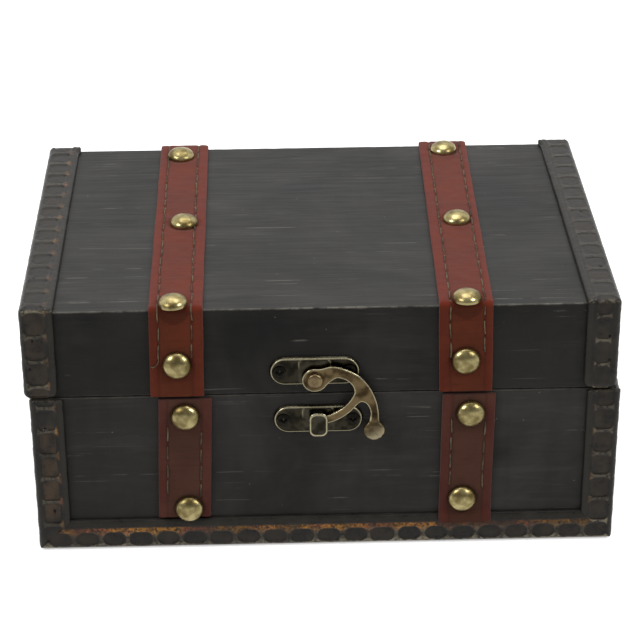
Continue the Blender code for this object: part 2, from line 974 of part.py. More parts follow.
# Hinges


def barrel_mesh(name, radius, length):
    return cylinder_mesh(name, radius, length, hinge_barrel_turns)


lay_along_x = Euler((0, quarter_turn, 0))
leaf_back = piece_gap - hinge_axis_behind_wall
leaf_middle_y = leaf_back + hinge_leaf_thickness / 2
end_knuckle = (hinge_width - hinge_middle_knuckle) / 2 - hinge_knuckle_gap
end_knuckle_middle = (hinge_width - end_knuckle) / 2


def add_leaf(name, centre, toward, knuckles, wall, parent=None):
    """A leaf: its plate on the wall, its knuckles round the pin, its screws in the wood."""
    plate_height_here = hinge_leaf_height - hinge_leaf_start
    leaf = new_piece(
        name,
        box_mesh(name, (hinge_width, hinge_leaf_thickness, plate_height_here)),
        hinge_bronze,
    )
    plate_z = toward * (hinge_leaf_start + plate_height_here / 2)
    place(leaf, centre + Vector((0, leaf_middle_y, plate_z)), None, parent)
    for i, (middle, length) in enumerate(knuckles):
        bridge_height = hinge_leaf_start + hinge_leaf_thickness
        bridge = new_cutter(
            f"{name}_bridge_{i}",
            box_mesh("bridge", (length, hinge_leaf_thickness, bridge_height)),
        )
        spot = centre + Vector((middle, leaf_middle_y, toward * bridge_height / 2))
        place(bridge, spot, None, parent)
        combine(leaf, bridge, "UNION")
        barrel = new_cutter(
            f"{name}_barrel_{i}", barrel_mesh("barrel", hinge_barrel_radius, length)
        )
        place(barrel, centre + Vector((middle, 0, 0)), lay_along_x, parent)
        combine(leaf, barrel, "UNION")
    bore = new_cutter(
        f"{name}_bore",
        barrel_mesh("bore", hinge_pin_radius + hinge_pin_clearance, hinge_width + cut_overrun),
    )
    place(bore, centre, lay_along_x, parent)
    combine(leaf, bore, "DIFFERENCE")
    screw_z = toward * hinge_screw_from_axis
    for screw_side, direction in sides.items():
        spot = Vector((centre.x + direction * hinge_screw_offset, wall_y, centre.z + screw_z))
        side_name = f"{name}_screw_{screw_side}"
        drill(
            f"hole_{side_name}",
            [wall],
            spot,
            face_back,
            hinge_screw_shank_radius + piece_gap,
            hinge_screw_length + piece_gap,
            cut_overrun,
            hinge_screw_turns,
            parent,
        )
        seat = leaf_back + hinge_axis_behind_wall + hinge_leaf_thickness / 2
        head_height = hinge_screw_head_height + hinge_leaf_thickness / 2
        profile = stud_profile(
            hinge_screw_head_radius,
            head_height,
            screw_crown_steps,
            hinge_screw_shank_radius,
            seat + hinge_screw_length,
        )
        stud = new_cutter(side_name, turned_mesh(side_name, profile, hinge_screw_turns))
        place(stud, spot + Vector((0, seat, 0)), face_back, parent)
        combine(leaf, stud, "UNION")
    return leaf


recess_width = hinge_width + 2 * (hinge_pin_head_length + 2 * piece_gap)
recess_reach = hinge_barrel_radius + piece_gap
recess_floor = recess_reach - hinge_axis_behind_wall
for side, direction in sides.items():
    centre = hinge_axis + Vector((direction * hinge_offset, 0, 0))
    recess_size = (recess_width, recess_floor + cut_overrun, 2 * recess_reach)
    recess_middle = Vector(
        (centre.x, wall_y + (cut_overrun - recess_floor) / 2, centre.z)
    )
    recess = new_cutter(f"recess_{side}", box_mesh("recess", recess_size))
    place(recess, recess_middle)
    combine(base_walls["back"], recess, "DIFFERENCE")
    combine(lid_walls["back"], recess, "DIFFERENCE")
    add_leaf(
        f"hinge_{side}_base_leaf",
        centre,
        -1,
        ((-end_knuckle_middle, end_knuckle), (end_knuckle_middle, end_knuckle)),
        base_walls["back"],
    )
    add_leaf(
        f"hinge_{side}_lid_leaf",
        centre,
        1,
        ((0, hinge_middle_knuckle),),
        lid_walls["back"],
        lid_pivot,
    )
    pin_length = hinge_width + 2 * piece_gap
    pin_name = f"hinge_{side}_pin"
    head_end = pin_length / 2 + hinge_pin_head_length
    pin_half = [
        (0, head_end),
        (hinge_pin_head_radius, head_end),
        (hinge_pin_head_radius, pin_length / 2),
        (hinge_pin_radius, pin_length / 2),
    ]
    pin_profile = pin_half + [(x, -z) for x, z in reversed(pin_half)]
    pin = new_piece(
        pin_name, turned_mesh(pin_name, pin_profile, hinge_barrel_turns), hinge_bronze
    )
    smooth_shading(pin)
    place(pin, centre, lay_along_x)
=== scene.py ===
"""Wooden jewelry box: carved corner mouldings, stained boards, stitched leather straps,
domed brass nails and a cast swing-hook latch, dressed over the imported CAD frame.

Lengths are in metres. X runs along the width, the front faces -Y and Z is up.
"""

import math
import random
from dataclasses import dataclass
import bmesh
import bpy
from bpy.props import FloatProperty, FloatVectorProperty, IntProperty, PointerProperty
from mathutils import Matrix, Vector, noise
from mathutils.kdtree import KDTree


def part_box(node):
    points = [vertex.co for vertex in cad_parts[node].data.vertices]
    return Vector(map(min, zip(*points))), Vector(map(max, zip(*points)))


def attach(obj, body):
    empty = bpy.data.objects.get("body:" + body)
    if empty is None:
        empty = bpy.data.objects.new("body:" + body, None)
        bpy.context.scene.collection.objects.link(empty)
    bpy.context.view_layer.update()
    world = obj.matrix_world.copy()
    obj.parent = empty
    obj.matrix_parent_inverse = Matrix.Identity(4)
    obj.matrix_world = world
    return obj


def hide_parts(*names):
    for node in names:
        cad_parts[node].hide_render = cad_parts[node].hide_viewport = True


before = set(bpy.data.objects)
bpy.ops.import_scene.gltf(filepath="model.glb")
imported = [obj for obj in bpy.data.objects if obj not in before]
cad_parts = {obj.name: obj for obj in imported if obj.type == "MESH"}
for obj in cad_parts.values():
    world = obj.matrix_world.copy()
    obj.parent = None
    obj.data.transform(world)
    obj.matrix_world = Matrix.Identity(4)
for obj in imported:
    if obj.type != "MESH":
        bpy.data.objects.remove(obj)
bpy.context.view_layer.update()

bl_info = {
    "name": "Wooden Jewelry Box",
    "version": (1, 0, 0),
    "blender": (4, 5, 0),
    "location": "View3D > Sidebar > Jewelry Box",
    "description": "Dresses the jewelry box with carved mouldings, straps, nails and its latch",
    "category": "Object",
}

LEFT = Vector((-1, 0, 0))
RIGHT = Vector((1, 0, 0))
FRONT = Vector((0, -1, 0))
BACK = Vector((0, 1, 0))
UP = Vector((0, 0, 1))
DOWN = Vector((0, 0, -1))
QUARTER = math.radians(90)
MM = 0.001
MERGE_DISTANCE = 0.000002

# The wood's outer faces, which everything else is set against
board_low, board_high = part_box("base_front_board")
WALL_FRONT = board_low.y
WALL_BACK = -board_low.y
LID_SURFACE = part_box("lid_top_board")[1].z
LID_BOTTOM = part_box("lid_front_board")[0].z
LID_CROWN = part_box("lid_top_trim_left")[1].z
BASE_RIM = board_high.z
SIDES = {"left": -1, "right": 1}


def linear(red, green, blue):
    """A screen colour, 0 to 255, as the linear values that Blender's colours hold."""
    return tuple(
        value / 12.92 if value <= 0.04045 else ((value + 0.055) / 1.055) ** 2.4
        for value in (red / 255, green / 255, blue / 255)
    )


def colour_property(name, description, red, green, blue):
    return FloatVectorProperty(
        name=name,
        description=description,
        default=linear(red, green, blue),
        subtype="COLOR",
        size=3,
        min=0,
        max=1,
    )


def length_property(name, description, value):
    return FloatProperty(
        name=name, description=description, default=value, unit="LENGTH", precision=5
    )


class BoxSizes(bpy.types.PropertyGroup):
    """Sizes of the detail that is added over the CAD solids."""

    coin_depth: length_property("Coin depth", "How deep the coins are pressed", 0.00050)
    coin_corner: length_property("Coin corner", "Radius of a coin's corners", 0.0021)
    ridge_width: length_property("Ridge width", "Wood left between two coins", 0.0006)
    carving_step: length_property("Carving step", "Mesh spacing along a moulding", 0.0003)
    board_edge: length_property("Board edge", "Rounding of the boards' edges", 0.0005)
    strap_edge: length_property("Strap edge", "Rounding of the straps' edges", 0.0004)
    stitch_pitch: length_property("Stitch pitch", "From one stitch to the next", 0.0063)
    stitch_length: length_property("Stitch length", "Thread that shows in one stitch", 0.0051)
    thread_radius: length_property("Thread radius", "Half the thread's thickness", 0.00024)
    nail_radius: length_property("Nail radius", "Half a nail's width", 0.00445)
    nail_height: length_property("Nail height", "From the wood to a nail's crown", 0.0045)
    nail_turns: IntProperty(
        name="Nail turns", description="Faces round a nail's head", default=48, min=12
    )
    plate_rim: length_property("Plate rim", "How far a latch plate's rim stands up", 0.00014)
    hook_rim: length_property("Hook rim", "How far the cast hook's rim stands up", 0.00010)
    cast_detail: length_property("Cast detail", "Mesh size of the cast hook", 0.00016)


class BoxColours(bpy.types.PropertyGroup):
    """Colours of the finishes."""

    stain: colour_property("Stain", "Stained boards", 36, 35, 33)
    stain_dark: colour_property("Dark stain", "Stain in the grain", 27, 26, 25)
    stain_light: colour_property("Light stain", "Scratches where the stain is thin", 92, 89, 82)
    bare_wood: colour_property("Bare wood", "Wood that shows at worn edges", 140, 135, 124)
    carving_dark: colour_property("Carving", "Stain on the mouldings", 29, 27, 24)
    # Thinner stain in blotches, and the painted highlight on the mouldings' rounded inner band
    carving_mid_and_highlight: colour_property("Carving band", "Thinner stain on the mouldings", 42, 39, 34)
    # Painted shade and grime at the coins' edges, and painted shade along the mouldings' inner edge
    carving_shade_and_grime: colour_property("Carving groove", "Edges of the coins", 20, 18, 15)
    # Also the painted shade under the near edges of the top trims' coins
    carving_pit_and_shade: colour_property("Carving pit", "Old nail holes in the mouldings", 8, 7, 6)
    coin_brown: colour_property("Coin", "Brown wood in the pressed coins", 72, 56, 40)
    copper: colour_property("Copper", "Copper rub on the ridges", 178, 122, 46)
    copper_red: colour_property("Red copper", "Redder patches of the copper rub", 146, 84, 54)
    pale_rub: colour_property("Pale rub", "Pale rub on the ridges", 132, 122, 102)
    lid_leather: colour_property("Lid straps", "Leather between the stitches", 85, 33, 19)
    lid_leather_edge: colour_property("Lid strap edges", "Outside the stitches", 90, 31, 19)
    base_leather: colour_property("Base straps", "Leather between the stitches", 62, 38, 29)
    base_leather_edge: colour_property("Base strap edges", "Outside the stitches", 69, 34, 28)
    thread: colour_property("Thread", "Stitching thread", 90, 80, 60)
    thread_dark: colour_property("Dark thread", "Dirt on the thread", 52, 42, 30)
    brass: colour_property("Brass", "Domed nails", 188, 174, 124)
    brass_dark: colour_property("Dark brass", "Tarnish on the nails", 112, 97, 58)
    hook: colour_property("Hook", "The cast hook and its ball", 118, 101, 72)
    hook_dark: colour_property("Dark hook", "Tarnish on the hook", 66, 53, 35)
    rivet: colour_property("Rivet", "The hook's rivet", 142, 120, 86)
    rivet_dark: colour_property("Dark rivet", "Tarnish on the rivet", 104, 86, 60)
    plate: colour_property("Plates", "Latch plates", 70, 66, 55)
    plate_dark: colour_property("Dark plates", "Tarnish on the latch plates", 42, 39, 32)
    bronze_rim: colour_property("Bronze rim", "Rubbed rims of the latch and hinges", 202, 192, 158)
    steel: colour_property("Steel", "Latch screws", 34, 32, 29)
    steel_dark: colour_property("Dark steel", "Tarnish on the screws", 22, 21, 19)
    steel_rim: colour_property("Steel rim", "Rubbed edges of the screws", 80, 76, 66)
    hinge: colour_property("Hinge", "Hinges", 104, 88, 58)
    hinge_dark: colour_property("Dark hinge", "Tarnish on the hinges", 60, 50, 34)


# Meshes


def layered_mesh(names=()):
    """An empty mesh, and a layer of numbers for each name."""
    shape = bmesh.new()
    return shape, [shape.verts.layers.float.new(name) for name in names]


def add_row(shape, layers, points):
    """Add a row of vertices. A point is (place, values), with a value for each layer."""
    row = []
    for place, values in points:
        vertex = shape.verts.new(place)
        for layer, value in zip(layers, values):
            vertex[layer] = value
        row.append(vertex)
    return row


def skin_rows(shape, rows, capped=True):
    """Skin closed rows of vertices. A row of one vertex is a tip."""
    for row, after in zip(rows, rows[1:]):
        for i in range(max(len(row), len(after))):
            near = [row[k % len(row)] for k in (i, i + 1)]
            far = [after[k % len(after)] for k in (i + 1, i)]
            corners = list(dict.fromkeys(near + far))
            if len(corners) > 2:
                shape.faces.new(corners)
    for row in (rows[0], rows[-1]):
        if capped and len(row) > 2:
            shape.faces.new(row)


def skin_rings(rings, names=()):
    """Skin closed rings of points into a solid."""
    shape, layers = layered_mesh(names)
    skin_rows(shape, [add_row(shape, layers, ring) for ring in rings])
    return shape


def cut_away(shape, point, normal):
    """Cut a solid at a plane and close it. What the normal points at goes."""
    bmesh.ops.bisect_plane(
        shape,
        geom=list(shape.verts) + list(shape.edges) + list(shape.faces),
        plane_co=point,
        plane_no=normal.normalized(),
        clear_outer=True,
    )
    rim = [edge for edge in shape.edges if edge.is_boundary]
    bmesh.ops.holes_fill(shape, edges=rim, sides=0)


def new_object(name, shape, smooth_angle=50):
    """Turn a bmesh into an object with smooth faces and sharp edges where it turns."""
    bmesh.ops.remove_doubles(shape, verts=shape.verts, dist=MERGE_DISTANCE)
    bmesh.ops.recalc_face_normals(shape, faces=shape.faces)
    mesh = bpy.data.meshes.new(name)
    shape.to_mesh(mesh)
    shape.free()
    mesh.shade_smooth()
    mesh.set_sharp_from_angle(angle=math.radians(smooth_angle))
    piece = bpy.data.objects.new(name, mesh)
    bpy.context.scene.collection.objects.link(piece)
    return piece


def dress(piece, material, body, slot, *nodes):
    """Give a piece its finish and its body, and hide the CAD nodes that it stands for. The slot is
    not used.
    """
    piece.data.materials.clear()
    piece.data.materials.append(material)
    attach(piece, body)
    if nodes:
        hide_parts(*nodes)
    return piece


def paint_node(name, material):
    """Give a CAD node that stays another finish."""
    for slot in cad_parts[name].material_slots:
        slot.material = material


def set_layer(piece, name, values):
    """Store one number for each vertex of a piece."""
    attribute = piece.data.attributes.new(name, "FLOAT", "POINT")
    attribute.data.foreach_set("value", values)


def arc(centre, radius, start, end, steps):
    return [
        (
            centre[0] + radius * math.cos(start + (end - start) * i / steps),
            centre[1] + radius * math.sin(start + (end - start) * i / steps),
        )
        for i in range(steps + 1)
    ]


def spread(low, high, step):
    """Evenly spaced values from low to high, both included, about a step apart."""
    count = max(1, round((high - low) / step))
    return [low + (high - low) * i / count for i in range(count + 1)]


def smoothstep(value):
    value = min(1.0, max(0.0, value))
    return value * value * (3 - 2 * value)


def bell(value, width):
    """1 at zero and falling off to nothing a few widths away."""
    return math.exp(-((value / width) ** 2))


def round_turns(count):
    """Angles evenly spaced all the way round."""
    return [4 * QUARTER * i / count for i in range(count)]


def lighter(colour, factor):
    return tuple(min(1.0, part * factor) for part in colour)


# Materials


class Nodes:
    """A node tree and short ways to add to it."""

    def __init__(self, tree):
        self.tree = tree

    def add(self, kind, inputs=None, output=0, **settings):
        node = self.tree.nodes.new(kind)
        for name, value in settings.items():
            setattr(node, name, value)
        for key, value in (inputs or {}).items():
            self.feed(node.inputs[key], value)
        return node.outputs[output]

    def feed(self, socket, value):
        if isinstance(value, bpy.types.NodeSocket):
            self.tree.links.new(value, socket)
        elif socket.type == "RGBA" and len(value) == 3:
            socket.default_value = (*value, 1)
        else:
            socket.default_value = value

    def times(self, first, *others):
        """A socket multiplied by sockets or numbers."""
        for other in others:
            first = self.add("ShaderNodeMath", {0: first, 1: other}, operation="MULTIPLY")
        return first

    def between(self, value, low, high, to_low=0.0, to_high=1.0, curve="SMOOTHSTEP"):
        """0 below low and 1 above high, or any two other values, and a curve between them."""
        inputs = {0: value, 1: low, 2: high, 3: to_low, 4: to_high}
        return self.add("ShaderNodeMapRange", inputs, interpolation_type=curve)

    def mix(self, share, first, second, blend="MIX"):
        inputs = {0: share, 6: first, 7: second}
        return self.add("ShaderNodeMix", inputs, 2, data_type="RGBA", blend_type=blend)


class Finish(Nodes):
    """A material whose colour is laid down in coats."""

    def __init__(self, name, colour):
        self.material = bpy.data.materials.new(name)
        self.material.use_nodes = True
        super().__init__(self.material.node_tree)
        self.shader = self.tree.nodes["Principled BSDF"]
        self.places = self.add("ShaderNodeTexCoord", output="Object")
        self.colour = colour

    def layer(self, name):
        return self.add("ShaderNodeAttribute", {}, "Fac", attribute_name=name)

    def noise(self, scale, detail=3, roughness=0.5, distortion=0.0, stretch=None):
        """Noise in the object's own coordinates, which stretch scales on each axis."""
        vector = self.places
        if stretch:
            vector = self.add("ShaderNodeMapping", {"Vector": vector, "Scale": stretch})
        inputs = {
            "Vector": vector,
            "Scale": scale,
            "Detail": detail,
            "Roughness": roughness,
            "Distortion": distortion,
        }
        return self.add("ShaderNodeTexNoise", inputs)

    def coat(self, colour, *masks, blend="MIX"):
        """Lay a colour over the last, as far as all the masks and numbers let it show."""
        self.colour = self.mix(self.times(*masks), self.colour, colour, blend)

    def finish(self, roughness, bumps, metallic=0.0, specular=0.5):
        """Join everything to the shader. The bumps are (height, distance)."""
        normal = None
        for height, distance in bumps:
            inputs = {"Height": height, "Distance": distance, "Strength": 1.0}
            if normal is not None:
                inputs["Normal"] = normal
            normal = self.add("ShaderNodeBump", inputs)
        joined = {
            "Base Color": self.colour,
            "Roughness": roughness,
            "Metallic": metallic,
            "Specular IOR Level": specular,
            "Normal": normal,
        }
        for key, value in joined.items():
            self.feed(self.shader.inputs[key], value)
        return self.material


def stained_wood(name, colours, grain, painted_light_factor=1.0, streaks_and_painted_sheen=0.3, specular=0.12):
    """Dark water stain over plywood. The grain runs along the axis with the 1. The stain's colours
    are scaled to paint light on some copies and shade on others, and the lighter streaks are brush
    marks in the stain mixed with painted sheen.
    """
    stain = lighter(colours.stain, painted_light_factor)
    stain_dark = lighter(colours.stain_dark, painted_light_factor)
    finish = Finish(name, stain_dark)

    def grain_noise(along, across, detail, roughness, distortion):
        stretch = [along if axis else across for axis in grain]
        return finish.noise(1, detail, roughness, distortion, stretch)

    fine = grain_noise(45, 1300, 3, 0.6, 0.2)
    streaks = grain_noise(34, 330, 3, 0.5, 1.4)
    sweeps = grain_noise(14, 80, 3, 0.6, 0.8)
    lines = grain_noise(18, 900, 2, 0.5, 0.3)
    across = grain_noise(150, 12, 3, 0.6, 0.5)
    finish.coat(stain, finish.between(finish.noise(26, 4, 0.6, 0.6), 0.34, 0.66))
    patches = finish.between(finish.noise(13, 4, 0.65, 1.0), 0.40, 0.66, 0.0, 0.55)
    finish.coat(lighter(stain, 1.7), patches)
    areas = finish.between(finish.noise(19, 2, 0.5), 0.40, 0.62, 0.15, 1.0)
    # Lighter streaks: brush marks in the stain, and painted sheen
    for marks, low, high in ((sweeps, 0.46, 0.72), (streaks, 0.48, 0.74)):
        finish.coat(lighter(stain, 2.8), finish.between(marks, low, high, 0.0, streaks_and_painted_sheen), areas)
    finish.coat(stain_dark, finish.between(across, 0.45, 0.75, 0.0, 0.25))
    finish.coat(stain_dark, finish.between(fine, 0.55, 0.75, 0.0, 0.08))
    broken = finish.between(finish.noise(75, 3, 0.6), 0.50, 0.60)
    finish.coat(colours.stain_light, finish.between(lines, 0.64, 0.71), broken, 0.5)
    cells = {"Vector": finish.places, "Scale": 300}
    specks = finish.add("ShaderNodeTexVoronoi", cells, "Distance", feature="F1")
    sparse = finish.between(finish.noise(140, 1), 0.60, 0.66)
    finish.coat(colours.bare_wood, finish.between(specks, 0.085, 0.045), sparse, 0.35)
    chipped = finish.between(finish.noise(260, 4, 0.75), 0.28, 0.64)
    finish.coat(colours.bare_wood, finish.layer("edge_wear"), chipped, 0.8)
    both = finish.add("ShaderNodeMath", {0: streaks, 1: fine}, operation="ADD")
    roughness = finish.between(both, 0.7, 1.3, 0.40, 0.54)
    return finish.finish(roughness, ((fine, 0.00002), (streaks, 0.00007)), specular=specular)


def carved_wood(name, colours):
    """Moulding with pressed coins: dark in the coins, rubbed with copper on the ridges."""
    finish = Finish(name, colours.carving_dark)
    rim = finish.layer("coin_rim")
    place = finish.layer("across")
    fine = finish.noise(900, 4, 0.6)
    blotch = finish.noise(230, 3, 0.6)
    finish.coat(colours.carving_mid_and_highlight, finish.between(blotch, 0.35, 0.75))
    coin = finish.between(rim, -0.15, -0.5)
    stained = finish.between(blotch, 0.25, 0.6)
    finish.coat(colours.coin_brown, coin, finish.layer("tone"), stained)
    # Painted shade and grime darken the edges of the coins
    groove = finish.times(finish.between(rim, 0.02, -0.10), finish.between(rim, -0.45, -0.18))
    finish.coat(colours.carving_shade_and_grime, groove, finish.layer("coin_edge_shade"), 0.35)
    redder = finish.between(finish.noise(70, 2), 0.38, 0.54)
    metal = finish.mix(redder, colours.copper_red, colours.copper)
    ragged = finish.between(finish.noise(1100, 3, 0.7), 0.34, 0.60)
    patches = finish.between(finish.noise(170, 3, 0.6), 0.36, 0.60)
    patches = finish.between(patches, 0, 1, 0.5, 1.0)
    finish.coat(metal, finish.between(rim, -0.04, 0.14), finish.layer("copper"), ragged, patches)
    thin = finish.between(finish.noise(700, 3, 0.65), 0.36, 0.58)
    finish.coat(colours.pale_rub, finish.between(rim, -0.10, 0.06), finish.layer("pale"), thin)
    # Painted highlight on the rounded inner band, then painted shade along the moulding's inner edge
    band = finish.times(finish.between(place, 8.4, 9.0), finish.between(place, 10.0, 9.6))
    finish.coat(colours.carving_mid_and_highlight, band, 0.6)
    finish.coat(colours.carving_shade_and_grime, finish.between(place, 10.0, 10.35), 0.8)
    chips = finish.between(fine, 0.46, 0.58)
    finish.coat(colours.pale_rub, finish.layer("edge_wear"), chips, 0.7)
    # Near-black in the old nail holes, and painted shade under the coins' near edges
    finish.coat(colours.carving_pit_and_shade, finish.between(finish.layer("pit"), 0.25, 0.7))
    roughness = finish.between(blotch, 0.3, 0.7, 0.26, 0.42)
    return finish.finish(roughness, ((blotch, 0.00010), (fine, 0.00004)), specular=0.20)


def strap_leather(name, middle, edge, hanging_shade=(1.0, 1.0, 1.0)):
    """Leather, browner between the stitch rows, with fine creases across.

    The last argument multiplies the colour, as painted shade, where the strap hangs down from the
    lid's top.
    """
    finish = Finish(name, middle)
    fine = finish.noise(1300, 4, 0.6)
    clouds = finish.noise(90, 4, 0.6)
    creases = finish.noise(1, 4, 0.6, 0.6, (70, 1300, 1300))
    finish.coat(edge, finish.between(finish.layer("across"), -0.7, 0.9))
    finish.coat(lighter(middle, 1.6), finish.between(clouds, 0.35, 0.7, 0.0, 0.45))
    finish.coat(lighter(middle, 0.5), finish.between(creases, 0.52, 0.72, 0.0, 0.35))
    finish.coat(lighter(middle, 0.35), finish.layer("groove"), 0.55)
    # Painted shade where the strap hangs down below the lid's top edge
    height = finish.add("ShaderNodeSeparateXYZ", {"Vector": finish.places}, "Z")
    finish.coat(hanging_shade, finish.between(height, *STRAP_BEND), blend="MULTIPLY")
    rubbed = finish.between(fine, 0.42, 0.58)
    finish.coat(lighter(edge, 1.8), finish.layer("edge_wear"), rubbed, 0.35)
    finish.feed(finish.shader.inputs["Sheen Weight"], 0.16)
    finish.feed(finish.shader.inputs["Sheen Roughness"], 0.45)
    roughness = finish.between(clouds, 0.3, 0.7, 0.46, 0.60)
    return finish.finish(roughness, ((creases, 0.00006), (fine, 0.00004)), specular=0.03)


def stitching_thread(name, colour, dark):
    finish = Finish(name, dark)
    twist = finish.noise(2600, 2)
    finish.coat(colour, finish.between(finish.noise(240, 3, 0.6), 0.38, 0.60))
    finish.coat(lighter(colour, 1.5), finish.between(twist, 0.5, 0.7, 0.0, 0.4))
    roughness = finish.between(twist, 0.3, 0.7, 0.6, 0.8)
    return finish.finish(roughness, ((twist, 0.00006),), specular=0.3)


def tarnished_metal(name, body, dark, rim, rough=(0.24, 0.42), mottle=420, rim_share=0.9):
    """Cast or pressed metal with tarnish in patches and rubbed rims."""
    finish = Finish(name, dark)
    patches = finish.noise(mottle, 3, 0.5)
    fine = finish.noise(mottle * 5, 3, 0.6)
    finish.coat(body, finish.between(patches, 0.35, 0.62))
    finish.coat(dark, finish.between(fine, 0.58, 0.72, 0.0, 0.3))
    rubbed = finish.between(fine, 0.3, 0.5, 0.55, 1.0)
    finish.coat(rim, finish.layer("edge_wear"), rubbed, rim_share)
    finish.coat(lighter(dark, 0.35), finish.layer("recess"), 0.4)
    roughness = finish.between(patches, 0.3, 0.7, rough[1], rough[0])
    return finish.finish(roughness, ((patches, 0.00002), (fine, 0.000006)), metallic=1.0)


# Mouldings

MOULDING_WIDTH = 0.0104
MOULDING_DEPTH = 0.0015
MOULDING_BAND_DROP = 0.0007
MOULDING_CORNER = 0.0021
MITRE_GAP = 0.00002
CORNER_STEPS = 5
JITTERS = 64
COIN_WALL = 0.0005
PIT_WIDTH = 0.00042
PIT_DEPTH = 0.0006
BAND_GROOVE_DEPTH = 0.00014
BAND_GROOVE_WIDTH = 0.00028
INNER_EDGE_DEPTH = 0.00035
INNER_EDGE_WIDTH = 0.0006
WEAR_REACH = 0.0016
FLARE_REACH = 0.0065
MOULDING_LAYERS = ("coin_rim", "across", "copper", "pale", "edge_wear", "pit", "tone", "coin_edge_shade")
PLAIN = (1.0, 0.0, 0.0, 0.0, 0.0, 0.0, 0.0, 0.0)


@dataclass
class CoinRow:
    """The pressed coins on one face of a moulding, measured along its length."""

    sizes: BoxSizes
    first: float  # where the first ridge is
    pitch: float
    copper: tuple  # at the start of the row and at its end
    pale: tuple
    depth: float = 1.0
    seed: int = 1
    pits: tuple = ()  # old nail holes, as (across, along, how tall)
    span: tuple = (0.0013, 0.0080)
    brown: tuple = (0.3, 0.3)
    brown_span: tuple = (-0.01, 1.0)  # where along the row the coins are brown
    band: float = 0.0083  # where the smooth band begins
    outer_pale: bool = False  # pale only at the outer ends of the ridges
    corner: float = 1.0
    ridge: float = 1.0
    shade: float = 0.0  # painted shade under the near edge of each coin
    # Strength of the painted shade and grime at the coins' edges
    coin_edge_shade: float = 1.0  # how dark the coins' edges are

    def __post_init__(self):
        self.depth *= self.sizes.coin_depth
        self.corner *= self.sizes.coin_corner
        self.ridge *= self.sizes.ridge_width
        self.middle = (self.span[0] + self.span[1]) / 2
        self.half = (self.span[1] - self.span[0]) / 2
        chance = random.Random(self.seed)
        self.jitter = [chance.uniform(-1, 1) for _ in range(JITTERS)]

    def look(self, across, along, share):
        """Depth and the values of the moulding's layers at a place."""
        cell = math.floor((along - self.first) / self.pitch)
        shift = self.jitter[cell % JITTERS]
        size = 1 + 0.02 * self.jitter[(cell * 7 + 3) % JITTERS]
        middle = self.first + (cell + 0.5) * self.pitch + 0.00008 * shift
        half_along = (self.pitch - self.ridge) / 2 * size
        half_across = self.half * size
        corner = self.corner * (1 + 0.2 * shift)
        x = abs(across - self.middle - 0.0001 * shift) - (half_across - corner)
        y = abs(along - middle) - (half_along - corner)
        rim = math.hypot(max(x, 0), max(y, 0)) + min(max(x, y), 0) - corner
        wall = smoothstep(-rim / COIN_WALL)
        dome = smoothstep(1 + rim / half_across)
        depth = self.depth * wall * (0.75 + 0.25 * dome + 0.12 * shift)
        ridge = round((along - self.first) / self.pitch)
        strength = 0.65 + 0.35 * self.jitter[(ridge * 5 + 1) % JITTERS]
        side = (across - self.middle) / half_across
        copper = self.copper[0] + (self.copper[1] - self.copper[0]) * share
        pale = self.pale[0] + (self.pale[1] - self.pale[0]) * share
        copper *= strength * smoothstep(1.6 * side - 0.3)
        copper *= smoothstep((self.band + 0.0002 - across) / 0.0005)
        if self.outer_pale:
            pale *= strength * (0.45 + 1.1 * smoothstep(-2.5 * side - 1.0))
            pale *= smoothstep((1.1 - side) / 0.3)
        else:
            beside = abs(along - self.first - ridge * self.pitch)
            copper *= smoothstep(1.4 - beside / 0.0016) * smoothstep((side - 0.62) / 0.4)
            pale *= strength * smoothstep((1.15 - abs(side)) / 0.2)
            pale *= smoothstep(1.5 - beside / 0.0011)
        pit = 0.0
        for pit_across, pit_along, tall in self.pits:
            spot = math.hypot(across - pit_across, (along - pit_along) / tall)
            pit = max(pit, bell(spot, PIT_WIDTH))
        tone = self.brown[0] + (self.brown[1] - self.brown[0]) * share
        tone *= 0.7 + 0.3 * self.jitter[(cell * 3 + 11) % JITTERS]
        tone *= smoothstep((along - self.brown_span[0]) / 0.004)
        tone *= smoothstep((self.brown_span[1] - along) / 0.004)
        depth += PIT_DEPTH * pit
        # Painted shade under the near edge of each coin, kept in the pit layer with the old nail
        # holes
        near_edge_shade = self.shade * bell(rim + 0.0001, 0.00024) * smoothstep((middle - along) / 0.0022)
        near_edge_shade *= smoothstep((0.0072 - across) / 0.002) * (0.75 + 0.25 * shift)
        return depth, rim, copper, pale, max(pit, near_edge_shade), tone


def band_depth(across, band):
    """How far the moulding's face falls away from its flat towards the inner edge."""
    slope = max(0.0, across - band) / (MOULDING_WIDTH - band)
    groove = BAND_GROOVE_DEPTH * bell(across - band + 0.0001, BAND_GROOVE_WIDTH)
    inner = (across - MOULDING_WIDTH + INNER_EDGE_WIDTH) / INNER_EDGE_WIDTH
    edge = INNER_EDGE_DEPTH * smoothstep(inner) ** 2
    return MOULDING_BAND_DROP * slope**1.8 + groove + edge


def round_over(distance, radius):
    """How far a rounded end falls back at this distance from it."""
    if distance >= radius:
        return 0.0
    return radius - math.sqrt(max(0.0, radius**2 - (radius - distance) ** 2))


